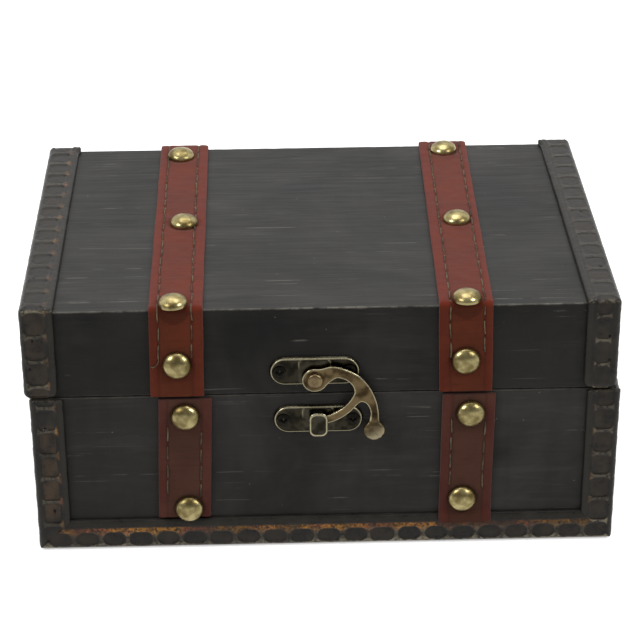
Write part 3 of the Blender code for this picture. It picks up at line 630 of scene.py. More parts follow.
def face_points(row, along, share, ends, step, first_turn):
    """(across, depth, values) over one face, from the corner's rounding to the inner edge."""
    fall = narrow = wear = flare = 0.0
    for end, face_radius, inner_radius, worn, flared in ends:
        reach = abs(along - end)
        fall = max(fall, round_over(reach, face_radius))
        narrow = max(narrow, round_over(max(0.0, reach - 0.29 * face_radius), inner_radius))
        wear = max(wear, worn * smoothstep(1 - reach / WEAR_REACH))
        flare = max(flare, flared * smoothstep(1 - reach / FLARE_REACH))
    fall = min(fall, MOULDING_DEPTH - 0.0001)
    radius = max(0.0002, MOULDING_CORNER - fall)
    places = []
    for i in range(CORNER_STEPS):
        turn = first_turn * (1 - i / CORNER_STEPS)
        across = MOULDING_CORNER - radius * math.sin(turn)
        places.append((across, MOULDING_CORNER - radius * math.cos(turn)))
    wave = 0.00022 * noise.noise(Vector((along * 150, row.first * 900, 0.7)))
    wave += flare - narrow
    for across in spread(MOULDING_CORNER, MOULDING_WIDTH, step):
        places.append((across, fall))
    points = []
    for across, base in places:
        pressed, rim, copper, pale, pit, tone = row.look(across, along, share)
        depth = base + pressed + band_depth(across, row.band)
        depth += 0.00005 * noise.noise(Vector((across, along, row.first)) * 700)
        if across > row.band:
            pale *= 0.2
        place = min(across + flare * smoothstep((across - 0.006) / 0.003), MOULDING_WIDTH + wave)
        edge = 0.22 + 0.5 * noise.noise(Vector((along * 160, row.first, 3)))
        edge *= smoothstep(1 - across / 0.0012)
        # The pit value holds the old nail holes and the painted shade under the coins
        values = (rim / MM, across / MM, copper, pale, max(wear, edge), pit, tone, row.coin_edge_shade)
        points.append((place, min(depth, MOULDING_DEPTH - 0.00004), values))
    return points


def moulded(name, rings, cuts):
    shape = skin_rings(rings, MOULDING_LAYERS)
    for point, normal in cuts:
        cut_away(shape, point, normal)
    return new_object(name, shape)


def corner_moulding(name, sizes, start, along, in_a, in_b, length, rows, ends, cuts):
    """A moulding wrapped round a corner. in_a and in_b point along its two legs.

    An end is (place, rounding of its face, rounding of its inner corner, wear, flare).
    """
    rings = []
    for reach in spread(0, length, sizes.carving_step):
        leg_a, leg_b = (
            face_points(row, reach, reach / length, ends, sizes.carving_step, QUARTER / 2)
            for row in rows
        )
        ring = [(leg_a[-1][0], MOULDING_DEPTH, PLAIN)] + leg_a[::-1]
        ring += [(b, a, values) for a, b, values in leg_b[1:]]
        ring.append((MOULDING_DEPTH, leg_b[-1][0], PLAIN))
        ring.append((MOULDING_DEPTH, MOULDING_DEPTH, PLAIN))
        at = start + along * reach
        rings.append([(at + in_a * a + in_b * b, values) for a, b, values in ring])
    return moulded(name, rings, cuts)


def rail(name, sizes, start, along, inward, length, row, cuts):
    """A flat moulding round the foot of the base, its lower edge rounded."""
    rings = []
    for reach in spread(0, length, sizes.carving_step):
        face = face_points(row, reach, reach / length, (), sizes.carving_step, QUARTER)
        ring = [(MOULDING_WIDTH, MOULDING_DEPTH, PLAIN)] + face[::-1]
        ring.append((0, MOULDING_DEPTH, PLAIN))
        at = start + along * reach
        rings.append([(at + UP * height + inward * depth, values) for height, depth, values in ring])
    return moulded(name, rings, cuts)


def cad_corners(prefix):
    """The outer corners of the base or lid over its mouldings, at height zero."""
    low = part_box(f"{prefix}_post_front_left")[0]
    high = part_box(f"{prefix}_post_back_right")[1]
    return Vector((low.x, low.y, 0)), Vector((high.x, high.y, 0))


def post_corner(node, face, side):
    """The outer corner that a post wraps, at height zero, and its two inward directions."""
    low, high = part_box(node)
    corner = Vector((low.x if side == "left" else high.x, low.y if face == "front" else high.y, 0))
    return corner, RIGHT if side == "left" else LEFT, BACK if face == "front" else FRONT


def add_posts(body, sizes, material, front_rows, plain_rows, seeds, foot, length, ends, mitres):
    """The four corner mouldings of the base or the lid.

    front_rows are the coins of the two faces in front. plain_rows, as (first, pitch, copper),
    are those of the faces behind and at the sides.
    """
    for face in ("front", "back"):
        for side in SIDES:
            node = f"{body}_post_{face}_{side}"
            corner, inward_x, inward_y = post_corner(node, face, side)
            seed = len(side) * seeds[0] + len(face) + seeds[1]
            behind, beside = (
                CoinRow(sizes, first, pitch, copper, (0.4, 0.3), depth=0.9, seed=seed + more)
                for (first, pitch, copper), more in zip(plain_rows, (0, 9))
            )
            rows = (front_rows.get((face, side), behind), beside)
            piece = corner_moulding(
                f"carved_{node}", sizes, corner + UP * foot, UP, inward_x, inward_y,
                length, rows, ends[face], mitres(corner, inward_x, inward_y),
            )
            dress(piece, material, body, "carved_wood", node)


def add_base_mouldings(sizes, material):
    front_rows = {
        ("front", "left"): CoinRow(
            sizes, 0.0012, 0.008325, (1.0, 0.3), (0.45, 0.25), seed=3,
            pits=((0.0044, 0.0435, 1.3), (0.0056, 0.0142, 2.2)), span=(0.0023, 0.0077),
            brown=(0.85, 0.6), brown_span=(0.0095, 0.0465), corner=0.5, ridge=1.6,
        ),
        ("front", "right"): CoinRow(
            sizes, 0.0069, 0.008175, (0.6, 0.1), (0.8, 0.7), depth=0.7, seed=5,
            span=(0.0020, 0.0077), corner=0.6, ridge=1.4, coin_edge_shade=0.7,
        ),
    }
    plain_rows = ((0.003, 0.0084, (0.6, 0.2)), (0.0021, 0.0083, (0.5, 0.2)))
    top = ((BASE_RIM, 0.0006, 0.0008, 0.15, 0.0),)

    def mitres(corner, *inwards):
        return [(corner + UP * MITRE_GAP, inward - UP) for inward in inwards]

    add_posts(
        "base", sizes, material, front_rows, plain_rows, (3, 0), 0, BASE_RIM,
        {"front": top, "back": top}, mitres,
    )
    low, high = cad_corners("base")
    runs = (
        ("front", low, RIGHT, BACK, (1.1, 0.5), (0.5, 0.85), 0.0027, 0.00839),
        ("right", Vector((high.x, low.y, 0)), BACK, LEFT, (0.5, 0.4), (0.5, 0.4), 0.004, 0.0084),
        ("back", high, LEFT, FRONT, (0.5, 0.5), (0.4, 0.5), 0.0031, 0.0084),
        ("left", Vector((low.x, high.y, 0)), FRONT, RIGHT, (0.6, 0.7), (0.4, 0.4), 0.0022, 0.0084),
    )
    for name, start, along, inward, copper, pale, first, pitch in runs:
        length = abs((high - low).dot(along))
        row = CoinRow(
            sizes, first, pitch, copper, pale, seed=len(name) * 5, span=(0.0012, 0.0062),
            brown=(0.1, 0.1), band=0.0077, outer_pale=True, corner=1.1, ridge=1.8,
        )
        cuts = []
        for corner, end in ((start, -along), (start + along * length, along)):
            for slope in (UP, inward):
                cuts.append((corner - end * MITRE_GAP, slope + end))
        piece = rail(f"carved_base_rail_{name}", sizes, start, along, inward, length, row, cuts)
        dress(piece, material, "base", "carved_wood", f"base_rail_{name}")


def add_lid_mouldings(sizes, material):
    height = LID_CROWN - LID_BOTTOM
    front_rows = {
        ("front", "left"): CoinRow(
            sizes, 0.0046, 0.00845, (0.5, 0.15), (0.5, 0.4), depth=0.9, seed=11,
            pits=((0.0038, 0.0198, 1.0), (0.00255, 0.0105, 1.0)), brown=(0.4, 0.2), ridge=1.3,
        ),
        ("front", "right"): CoinRow(
            sizes, 0.0005, 0.00825, (0.1, 0.0), (1.0, 0.6), depth=0.35, seed=13,
            pits=((0.00325, 0.0183, 1.6), (0.00295, 0.0103, 1.6)), span=(0.0030, 0.0074),
            brown=(0.1, 0.1), corner=0.5, ridge=1.3, coin_edge_shade=0.3,
        ),
    }
    plain_rows = ((0.003, 0.0084, (0.3, 0.1)), (0.0031, 0.0083, (0.3, 0.1)))
    foot = (0.0, 0.0022, 0.0030, 0.15, 0.0)
    ends = {
        "front": (foot, (height, 0.0018, 0.0004, 0.8, 0.0)),
        "back": (foot, (height, 0.0028, 0.0028, 0.3, 0.0)),
    }

    def mitres(corner, _, inward_y):
        return [(corner + UP * (LID_CROWN - MITRE_GAP), inward_y + UP)]

    add_posts(
        "lid", sizes, material, front_rows, plain_rows, (4, 20), LID_BOTTOM, height, ends, mitres
    )
    low, high = cad_corners("lid")
    depth = high.y - low.y
    trims = {
        "left": (low.x, RIGHT, (0.5, 0.6), (0.2, 0.15), 0.7, 0.6, ((0.00315, 0.0217, 1.0),)),
        "right": (
            high.x, LEFT, (0.05, 0.05), (0.25, 0.15), 0.35, 0.3,
            ((0.0039, 0.0637, 1.0), (0.0034, 0.0231, 1.0)),
        ),
    }
    ends = ((0.0, 0.0018, 0.0004, 0.8, 0.0), (depth, 0.0028, 0.0040, 0.2, 0.0018))
    for side, (x, inward, copper, pale, depth_share, shade, pits) in trims.items():
        top_row = CoinRow(
            sizes, 0.0038, 0.00883, copper, pale, depth=depth_share, seed=31, pits=pits,
            span=(0.0016, 0.0078), brown=(0.1, 0.1), band=0.0086, corner=0.8, ridge=2.2,
            shade=shade, coin_edge_shade=0.3,
        )
        side_row = CoinRow(sizes, 0.0031, 0.0086, copper, pale, depth=0.9, seed=33)
        cuts = [
            (Vector((x, y, LID_CROWN + MITRE_GAP)), -inward_y - UP)
            for inward_y, y in ((BACK, low.y), (FRONT, high.y))
        ]
        piece = corner_moulding(
            f"carved_lid_top_trim_{side}", sizes, Vector((x, low.y, LID_CROWN)), BACK, inward,
            DOWN, depth, (top_row, side_row), ends, cuts,
        )
        dress(piece, material, "lid", "carved_wood", f"lid_top_trim_{side}")


# Boards

BOARD_STEP = 0.0009
EDGE_BESIDE = 0.0002


def board_ring(corners, reach, chance_seed):
    """A cross-section of a board along X. A corner is (y, z, quarter, rounding, wear)."""
    ring = []
    middle_y = (corners[0][0] + corners[1][0]) / 2
    middle_z = (corners[1][1] + corners[2][1]) / 2
    for index, (y, z, quarter, rounding, worn) in enumerate(corners):
        spot = Vector((reach * 260, index * 3.1, chance_seed))
        chip = max(0.0, noise.noise(spot * 0.9) - 0.35) * 0.0010
        radius = rounding * (1 + 0.35 * noise.noise(spot)) + chip * worn
        centre = (
            y + math.copysign(radius, middle_y - y), z + math.copysign(radius, middle_z - z)
        )
        start = quarter * QUARTER
        end = start + QUARTER
        wear = worn * (0.75 + 0.5 * noise.noise(spot * 0.17))
        points = arc(centre, radius, start, end, 3)
        (first_y, first_z), (last_y, last_z) = points[0], points[-1]
        beside = (math.sin(start) * EDGE_BESIDE, math.cos(start) * EDGE_BESIDE)
        ring.append((first_y + beside[0], first_z - beside[1], 0.0))
        for i, point in enumerate(points):
            ring.append((*point, wear if 0 < i < 3 else 0.2 * wear))
        beside = (math.sin(end) * EDGE_BESIDE, math.cos(end) * EDGE_BESIDE)
        ring.append((last_y - beside[0], last_z + beside[1], 0.0))
    return [(Vector((reach, y, z)), (wear,)) for y, z, wear in ring]


def worn_board(name, node, seed, front_edges, back_edge, raised=0.0):
    """A board along X with rounded, chipped edges, in the place of a CAD board.

    front_edges are the lower and upper (rounding, wear), back_edge that of both back ones.
    """
    low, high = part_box(node)
    top = high.z + raised
    corners = (
        (low.y, low.z, 2, *front_edges[0]), (high.y, low.z, 3, *back_edge),
        (high.y, top, 0, *back_edge), (low.y, top, 1, *front_edges[1]),
    )
    rings = [board_ring(corners, x, seed) for x in spread(low.x, high.x, BOARD_STEP)]
    return new_object(name, skin_rings(rings, ("edge_wear",)))


# Straps

STRAP_STEP = 0.0007
STRAP_LIFT = 0.0001
STRAP_FRONT = 0.0015
STRAP_HALF = 0.0081
BEND_INSET = 0.0003
STRAP_BEND = (0.0848, 0.0822)
STRAP_EDGE_DROP = 0.00022
STRAP_EDGE_WIDTH = 0.0012
HOLE_REACH = 0.0012
HOLE_RADIUS = 0.00040
HOLE_DEPTH = 0.00028
GROOVE_WIDTH = 0.00045
GROOVE_DEPTH = 0.00012
PRESSED_RADIUS = 0.0064
PRESSED_DEPTH = 0.00018
STITCH_SUNK = 0.00036
STITCH_ARCH = 0.00040
STITCH_STEPS = 9
# How far the stitches begin and end past a strap's first and last nail
LID_STITCHES = (0.0008, -0.001)
BASE_STITCHES = (0.0046, 0.0004)
# Lower ends of the base's front straps, and how the right one rises over the foot's moulding
STRAP_BOTTOMS = {"left": 0.0112, "right": 0.0085}
RISE_HEIGHT = 0.00165
RISE_TOP = 0.0124
RISE_LENGTH = 0.0034
STRAP_LAYERS = ("across", "groove", "edge_wear")


class StrapPath:
    """The line on the wood that a strap follows: places, outward directions and lengths."""

    def __init__(self, stations, middle, lift=None):
        self.stations = stations
        self.middle = middle  # gives the strap's middle X at a place
        self.lift = lift or (lambda place: 0.0)
        self.reach = [0.0]
        for (here, _), (there, _) in zip(stations, stations[1:]):
            self.reach.append(self.reach[-1] + (there - here).length)

    def at(self, reach, across, height):
        """The point this far along, this far from the middle and this high off the wood."""
        reach = min(max(reach, 0.0), self.reach[-1])
        i = 0
        while i < len(self.reach) - 2 and self.reach[i + 1] < reach:
            i += 1
        share = (reach - self.reach[i]) / max(1e-9, self.reach[i + 1] - self.reach[i])
        place = self.stations[i][0].lerp(self.stations[i + 1][0], share)
        outward = self.stations[i][1].lerp(self.stations[i + 1][1], share).normalized()
        height += self.lift(place)
        return place + outward * height + RIGHT * (self.middle(place) + across)


def bend_stations(centre, first, second):
    """Stations round a strap's bend, between two outward directions."""
    stations = []
    for i in range(1, 6):
        turn = QUARTER * i / 6
        outward = first * math.cos(turn) + second * math.sin(turn)
        stations.append((centre + outward * BEND_INSET, outward))
    return stations


def lid_strap_path(middle):
    """Up the front, over the lid and down the back."""
    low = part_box("lid_strap_left")[0].z
    bend = LID_SURFACE - BEND_INSET
    near = WALL_FRONT + BEND_INSET
    far = WALL_BACK - BEND_INSET
    stations = [(Vector((0, WALL_FRONT, z)), FRONT) for z in spread(low, bend, STRAP_STEP)]
    stations += bend_stations(Vector((0, near, bend)), FRONT, UP)
    stations += [(Vector((0, y, LID_SURFACE)), UP) for y in spread(near, far, STRAP_STEP)]
    stations += bend_stations(Vector((0, far, bend)), UP, BACK)
    stations += [(Vector((0, WALL_BACK, z)), BACK) for z in (bend, low)]
    return StrapPath(stations, middle)


def base_strap_path(node, low, middle, outward, lift=None):
    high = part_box(node)[1].z
    wall = WALL_FRONT if outward == FRONT else WALL_BACK
    stations = [(Vector((0, wall, z)), outward) for z in spread(low, high, STRAP_STEP)]
    return StrapPath(stations, middle, lift)


def strap_height(across, reach, rows, holes, nails):
    """(height, groove) of a strap's outer face at a place."""
    groove = max(bell(across - row, GROOVE_WIDTH) for row in rows)
    height = STRAP_FRONT - GROOVE_DEPTH * groove
    beyond = (abs(across) - STRAP_HALF + STRAP_EDGE_WIDTH) / STRAP_EDGE_WIDTH
    height -= STRAP_EDGE_DROP * smoothstep(beyond)
    height += 0.00006 * noise.noise(Vector((across * 260, reach * 260, 2.0)))
    groove *= 0.5
    for hole_across, hole_reach in holes:
        if abs(hole_reach - reach) < HOLE_REACH:
            distance = math.hypot(across - hole_across, reach - hole_reach)
            height -= HOLE_DEPTH * bell(distance, HOLE_RADIUS)
            groove = max(groove, 1.6 * bell(distance, 0.00042))
    for nail_across, nail_reach in nails:
        distance = math.hypot(across - nail_across, reach - nail_reach)
        height -= PRESSED_DEPTH * smoothstep((PRESSED_RADIUS - distance) / 0.0024)
        groove = max(groove, 0.9 * smoothstep((0.0052 - distance) / 0.0006))
    return height, min(groove, 1.6)


def strap_mesh(name, sizes, path, rows, holes, nails, seed, curved_end=0.0):
    """A strap with rounded edges, pressed stitch lines and needle holes."""
    rings = []
    edge = sizes.strap_edge
    for reach in path.reach:
        width = STRAP_HALF * (1 + 0.014 * noise.noise(Vector((reach * 90, seed, 0.5))))
        near = [hole for hole in holes if abs(hole[1] - reach) < HOLE_REACH]
        ring = []
        for share in spread(-1, 1, 0.04):
            across = share * (width - edge)
            height, groove = strap_height(across, reach, rows, near, nails)
            outside = max(across - rows[1], rows[0] - across) / MM
            ring.append((across, height, outside, groove, 0.0))
        left, right = ring[0], ring[-1]
        for turn in (30, 60, 90):
            angle = math.radians(turn)
            across = edge * math.sin(angle)
            drop = edge * (1 - math.cos(angle))
            ring.append((right[0] + across, right[1] - drop, 3.0, 0.0, 0.7))
            ring.insert(0, (left[0] - across, left[1] - drop, 3.0, 0.0, 0.7))
        ring += [
            (width, STRAP_LIFT + 0.0002, 3.0, 0.0, 0.3),
            (width - 0.0003, STRAP_LIFT, 3.0, 0.0, 0.0),
            (-width + 0.0003, STRAP_LIFT, 3.0, 0.0, 0.0),
            (-width, STRAP_LIFT + 0.0002, 3.0, 0.0, 0.3),
        ]
        points = []
        for across, height, side, groove, wear in ring:
            place = path.at(reach, across, height)
            if curved_end:
                fade = smoothstep(1 - reach / 0.003)
                place.z -= curved_end * fade * (1 - (across / width) ** 2)
            points.append((place, (side, groove, wear)))
        rings.append(points)
    return new_object(name, skin_rings(rings, STRAP_LAYERS))


def stitch_holes(sizes, spans, seed):
    """Ends of the stitches in both rows, as pairs of (across, reach)."""
    chance = random.Random(seed)
    pairs = []
    for across, (start, end) in spans:
        reach = start
        while reach + sizes.stitch_length <= end:
            length = sizes.stitch_length + chance.uniform(-0.0004, 0.0004)
            leans = [across + chance.uniform(-0.00018, 0.00018) for _ in range(2)]
            pairs.append(((leans[0], reach), (leans[1], reach + length)))
            reach += sizes.stitch_pitch + chance.uniform(-0.0002, 0.0002)
    return pairs


def thread_through(shape, points, radius):
    """Add one length of thread through these points to a mesh."""
    rows = []
    last = len(points) - 1
    for i, point in enumerate(points):
        along = (points[min(last, i + 1)] - points[max(0, i - 1)]).normalized()
        outward = UP if abs(along.z) < 0.9 else FRONT
        sideways = along.cross(outward).normalized()
        size = radius * (0.55 if i in (0, last) else 1)
        ring = []
        for turn in round_turns(8):
            ring.append((point + (sideways * math.cos(turn) + outward * math.sin(turn)) * size, ()))
        rows.append(add_row(shape, (), ring))
    skin_rows(shape, rows)


def add_stitches(name, sizes, path, pairs, seed, loose=()):
    """The thread of every stitch of a strap, and a loose end if it has one."""
    chance = random.Random(seed)
    shape = bmesh.new()
    for (first_across, start), (last_across, end) in pairs:
        bow = chance.uniform(-0.00016, 0.00016)
        points = []
        for i in range(STITCH_STEPS):
            share = i / (STITCH_STEPS - 1)
            arch = math.sin(math.pi * share)
            height = STRAP_FRONT - STITCH_SUNK + STITCH_ARCH * arch**0.45
            reach = start + (end - start) * share
            across = first_across + (last_across - first_across) * share + bow * arch
            points.append(path.at(reach, across, height))
        thread_through(shape, points, sizes.thread_radius * chance.uniform(0.8, 1.1))
    if loose:
        points = [path.at(reach, across, height) for across, reach, height in loose]
        thread_through(shape, points, sizes.thread_radius * 0.8)
    return new_object(name, shape, 80)


# Nails and screws

NAIL_FOOT = 0.00135
NAIL_ROLL = 0.0003
DENT = 0.00003
SCREW_RADIUS = 0.0018
SCREW_CROWN = 0.0003
SCREW_RIM = 0.0003
SCREW_RECESS = 0.0006
SLOT_HALF = 0.00034
SLOT_REACH = 0.62


def turned(profile, turns, seed=0):
    """Turn (radius, height, wear) points about Z, with slight dents."""
    shape, layers = layered_mesh(("edge_wear",))
    rows = []
    for radius, height, wear in profile:
        points = []
        for angle in round_turns(turns if radius else 1):
            spot = Vector((radius * math.cos(angle), radius * math.sin(angle), height))
            push = DENT * noise.noise(spot * 420 + Vector((seed, 0, 0))) if radius else 0
            points.append((spot * (1 + push / max(radius, 0.001)), (wear,)))
        rows.append(add_row(shape, layers, points))
    skin_rows(shape, rows)
    return shape


def nail_profile(radius, low, high):
    """A pressed dome with a thin rolled rim, hollow edge down on the leather."""
    profile = [(0, high, 0.25)]
    for i in range(1, 17):
        angle = QUARTER * i / 17
        share = math.sin(angle)
        height = low + NAIL_ROLL + (high - low - NAIL_ROLL) * math.cos(angle) ** 0.92
        profile.append((radius * share, height, 0.25 * (1 - share)))
    profile.append((radius, low + 0.00022, 0.5))
    profile.append((radius * 0.995, low, 0.2))
    profile.append((radius * 0.93, low, 0.0))
    profile.append((0, low, 0.0))
    return profile


def place_turned(name, shape, place, outward, tilt=(0, 0)):
    piece = new_object(name, shape, 60)
    spin = outward.to_track_quat("Z", "Y")
    lean = Vector((tilt[0], tilt[1], 1)).to_track_quat("Z", "Y")
    piece.matrix_world = Matrix.Translation(place) @ (spin @ lean).to_matrix().to_4x4()
    return piece


def screw_head():
    """A domed screw head with a cross recess, its rim on Z = 0."""
    shape, layers = layered_mesh(("edge_wear",))
    rows = [add_row(shape, layers, [((0, 0, SCREW_CROWN - SCREW_RECESS), ())])]
    rings = 20
    for ring in range(1, rings + 1):
        share = ring / rings
        points = []
        for angle in round_turns(64):
            x = SCREW_RADIUS * share * math.cos(angle)
            y = SCREW_RADIUS * share * math.sin(angle)
            arm, along = sorted((abs(x), abs(y)))
            cross = smoothstep((SLOT_HALF - arm) / 0.00012)
            cross *= smoothstep((SCREW_RADIUS * SLOT_REACH - along) / 0.0002)
            sunk = SCREW_RECESS * cross * (1 - 0.5 * along / SCREW_RADIUS)
            height = SCREW_CROWN * (1 - share**2) - sunk
            points.append(((x, y, height), (0.2 * share**6,)))
        rows.append(add_row(shape, layers, points))
    rim = [((vertex.co.x, vertex.co.y, -SCREW_RIM), ()) for vertex in rows[-1]]
    rows.append(add_row(shape, layers, rim))
    skin_rows(shape, rows)
    return shape


# Latch

PLATE_HEIGHT = 0.0094
PLATE_BACK = 0.00025
PLATE_FLANGE = 0.0004
PLATE_FACE = 0.0010
PLATE_CREST = 0.00050
PLATE_RIM_WIDTH = 0.00095
SEAT_RADIUS = 0.0024
SEAT_DEPTH = 0.00024
# Rows of the plate's mesh, in mm from its edge
PLATE_INSETS = (
    4.7, 4.2, 3.7, 3.2, 2.75, 2.3, 1.9, 1.6, 1.35, 1.15, 1.0, 0.9, 0.8, 0.7, 0.62, 0.55,
    0.48, 0.40, 0.32, 0.24, 0.16, 0.08, 0.03, 0.0,
)
BOSS_SIZE = (0.0096, 0.0084, 0.0014)
BOSS_HEIGHT = 0.00040
RIVET_RADIUS = 0.00235
RIVET_SHOULDER = 0.0034
RIVET_DOME = 0.0008
RIVET_UNDERSIDE = 0.0032
SHANK_RADIUS = 0.0012
SHANK_FOOT = 0.0012
KEEPER_DROP = 0.0110
KEEPER_SIZE = (0.0055, 0.0080, 0.0019)
NECK_HALF = 0.0015
NECK_HEIGHT = 0.0009
NECK_DEPTHS = (0.0009, 0.0035)
# The keeper's knob from the middle of its face to its back: (share of its outline, depth)
KEEPER_STEPS = (
    (0, 0.00395), (0.3, 0.00393), (0.55, 0.00392), (0.72, 0.00395), (0.80, 0.00405),
    (0.86, 0.0041), (0.93, 0.00407), (0.98, 0.00395), (1.0, 0.00375), (1.0, 0.0035),
    (0.97, 0.00334), (0.9, 0.0033), (0, 0.0033),
)


def stadium(length, height):
    """(place, direction) pairs round a stadium's middle line, each side cut finely."""
    reach = (length - height) / 2
    pairs = []
    steps = 60
    for way in (1, -1):
        for i in range(21):
            angle = -way * QUARTER + 2 * QUARTER * i / 20
            pairs.append(((way * reach, 0), (math.cos(angle), math.sin(angle))))
        for i in range(1, steps):
            pairs.append(((way * (reach - 2 * reach * i / steps), 0), (0, way)))
    return pairs


def rounded_box_distance(x, z, width, height, corner):
    """Distance from a rounded box's edge, negative inside it."""
    across = abs(x) - (width / 2 - corner)
    up = abs(z) - (height / 2 - corner)
    return math.hypot(max(across, 0), max(up, 0)) + min(max(across, up), 0) - corner


def plate_point(sizes, px, pz, edge, downward, screws):
    """(how far out, wear, recess) of a latch plate's face at a place, this far from its edge."""
    rim = sizes.plate_rim * smoothstep((PLATE_RIM_WIDTH - edge) / 0.0003)
    slope = smoothstep(edge / PLATE_CREST) ** 0.7
    out = PLATE_FLANGE + (PLATE_FACE + rim - PLATE_FLANGE) * slope
    boss = rounded_box_distance(px, pz, *BOSS_SIZE)
    raised = smoothstep(0.5 - boss / 0.0006) * smoothstep((edge - 0.0006) / 0.0004)
    out += BOSS_HEIGHT * raised
    # The rim's rub is weaker along its lower side, and the boss's upper edge carries a painted
    # highlight
    wear = bell(edge - PLATE_CREST, 0.00017) * (0.7 if downward else 1)
    wear = max(wear, 0.55 * bell(boss, 0.00018) * smoothstep(pz / 0.003))
    recess = smoothstep((edge - 0.0006) / 0.0003) * (1 - raised)
    for screw_x in screws:
        distance = math.hypot(px - screw_x, pz)
        out -= SEAT_DEPTH * smoothstep((SEAT_RADIUS - distance) / 0.0005)
        recess = max(recess, 1.4 * bell(distance - 0.0019, 0.0003))
    out += 0.00003 * noise.noise(Vector((px, pz, 0.2)) * 500)
    return out, min(1.0, wear), min(1.0, recess)


def coined_plate(sizes, middle, length, screws):
    """A pressed stadium plate: sloping flange, raised rim, raised middle, sunk screw seats."""
    around = stadium(length, PLATE_HEIGHT)
    radius = PLATE_HEIGHT / 2
    shape, layers = layered_mesh(("edge_wear", "recess"))
    rows = []
    for inset in PLATE_INSETS:
        edge = inset * MM
        points = []
        for (x, z), (dx, dz) in around:
            px = x + dx * (radius - edge)
            pz = z + dz * (radius - edge)
            out, *values = plate_point(sizes, px, pz, edge, dz <= -0.5, screws)
            points.append((middle + RIGHT * px + UP * pz + FRONT * out, values))
        rows.append(add_row(shape, layers, points))
    for share in (1, 0.9, 0):
        points = []
        for (x, z), (dx, dz) in around:
            place = RIGHT * (x + dx * radius * share) + UP * (z + dz * radius * share)
            points.append((middle + place + FRONT * PLATE_BACK, ()))
        rows.append(add_row(shape, (), points))
    skin_rows(shape, rows, capped=False)
    bmesh.ops.remove_doubles(shape, verts=shape.verts, dist=0.000001)
    return shape


def add_keeper(shape, top, middle_x):
    """The keeper's neck and its dished knob, added to the catch plate's mesh."""
    layers = [shape.verts.layers.float[name] for name in ("edge_wear", "recess")]
    low = top - NECK_HEIGHT
    rows = []
    for depth in NECK_DEPTHS:
        corners = ((-NECK_HALF, low), (NECK_HALF, low), (NECK_HALF, top), (-NECK_HALF, top))
        points = [((middle_x + x, WALL_FRONT - depth, z), ()) for x, z in corners]
        rows.append(add_row(shape, (), points))
    skin_rows(shape, rows)
    width, height, corner = KEEPER_SIZE
    middle = Vector((middle_x, WALL_FRONT, top - height / 2))
    outline = []
    for x, z, quarter in ((1, -1, -1), (1, 1, 0), (-1, 1, 1), (-1, -1, 2)):
        centre = (x * (width / 2 - corner), z * (height / 2 - corner))
        outline += arc(centre, corner, quarter * QUARTER, (quarter + 1) * QUARTER, 8)
    rows = []
    for share, depth in KEEPER_STEPS:
        facing = depth > 0.0036
        values = (0.9 if facing and share > 0.82 else 0.0, 0.1 if facing and share < 0.78 else 0.0)
        points = [(middle + Vector((x * share, -depth, z * share)), values) for x, z in outline]
        rows.append(add_row(shape, layers, points))
    skin_rows(shape, rows, capped=False)


HOOK_REACH = 0.0180
HOOK_BORE = 0.00145
HOOK_THICKNESS = 0.0012
HOOK_EDGE = 0.00035
HOOK_MIDDLE = 0.0024
HOOK_EYE = 0.0039
PRONG_OUTER = 0.0154
PRONG_INNER = 0.0128
EYE_GROOVE = 0.0026
EYE_GROOVE_DEPTH = 0.00012
BALL_OUT = 0.0003
# The hook's outline between its arcs, as shares of its reach from the pivot
HOOK_BACK = (
    (0.100, 0.214), (0.283, 0.256), (0.483, 0.211), (0.739, 0.072),
    (0.917, -0.139), (1.028, -0.389), (1.072, -0.600), (1.090, -0.850),
)
HOOK_TAIL = ((0.920, -0.850), (0.939, -0.683), (0.917, -0.556), (0.860, -0.462), (0.775, -0.432))
HOOK_THROAT = ((0.663, -0.244), (0.628, -0.117), (0.517, -0.006), (0.372, 0.036), (0.252, -0.036))
# Height from the pivot, half width and half depth down the hook's neck and ball
HOOK_DROP = (
    (-0.0118, 0.0010, 0.0005), (-0.0130, 0.0014, 0.0008), (-0.0139, 0.0015, 0.0009),
    (-0.0147, 0.0019, 0.0011), (-0.0155, 0.0026, 0.0014), (-0.0164, 0.0032, 0.0016),
    (-0.0175, 0.00355, 0.0018), (-0.0187, 0.0034, 0.0017), (-0.0198, 0.0028, 0.0014),
    (-0.0206, 0.0019, 0.0010), (-0.0212, 0.0005, 0.0003),
)


def smooth_points(points, steps):
    """Points on a smooth curve that passes through the given points."""
    places = [Vector(point) for point in points]
    places = [2 * places[0] - places[1]] + places + [2 * places[-1] - places[-2]]
    result = []
    for before, start, end, after in zip(places, places[1:], places[2:], places[3:]):
        for i in range(steps):
            t = i / steps
            value = (
                2 * start
                + (end - before) * t
                + (2 * before - 5 * start + 4 * end - after) * t**2
                + (3 * start - before - 3 * end + after) * t**3
            ) / 2
            result.append((value.x, value.y))
    result.append(tuple(places[-2]))
    return result


def hook_outline():
    """Outline of the hook seen from the front, the pivot at the origin."""

    def sized(shares):
        return [(HOOK_REACH * x, HOOK_REACH * z) for x, z in shares]

    def turn(radius, start, end, steps):
        return arc((0, 0), radius, math.radians(start), math.radians(end), steps)

    outer = turn(PRONG_OUTER, -36, -81.5, 14)
    inner = turn(PRONG_INNER, -77, -28, 14)
    eye = turn(HOOK_EYE, -30, -262, 28)
    back = smooth_points([eye[-1]] + sized(HOOK_BACK), 5)
    tail = smooth_points(sized(HOOK_TAIL) + [outer[0]], 5)
    throat = smooth_points([inner[-1]] + sized(HOOK_THROAT), 5)
    return eye[:-1] + back + tail[:-1] + outer + inner[:-1] + throat


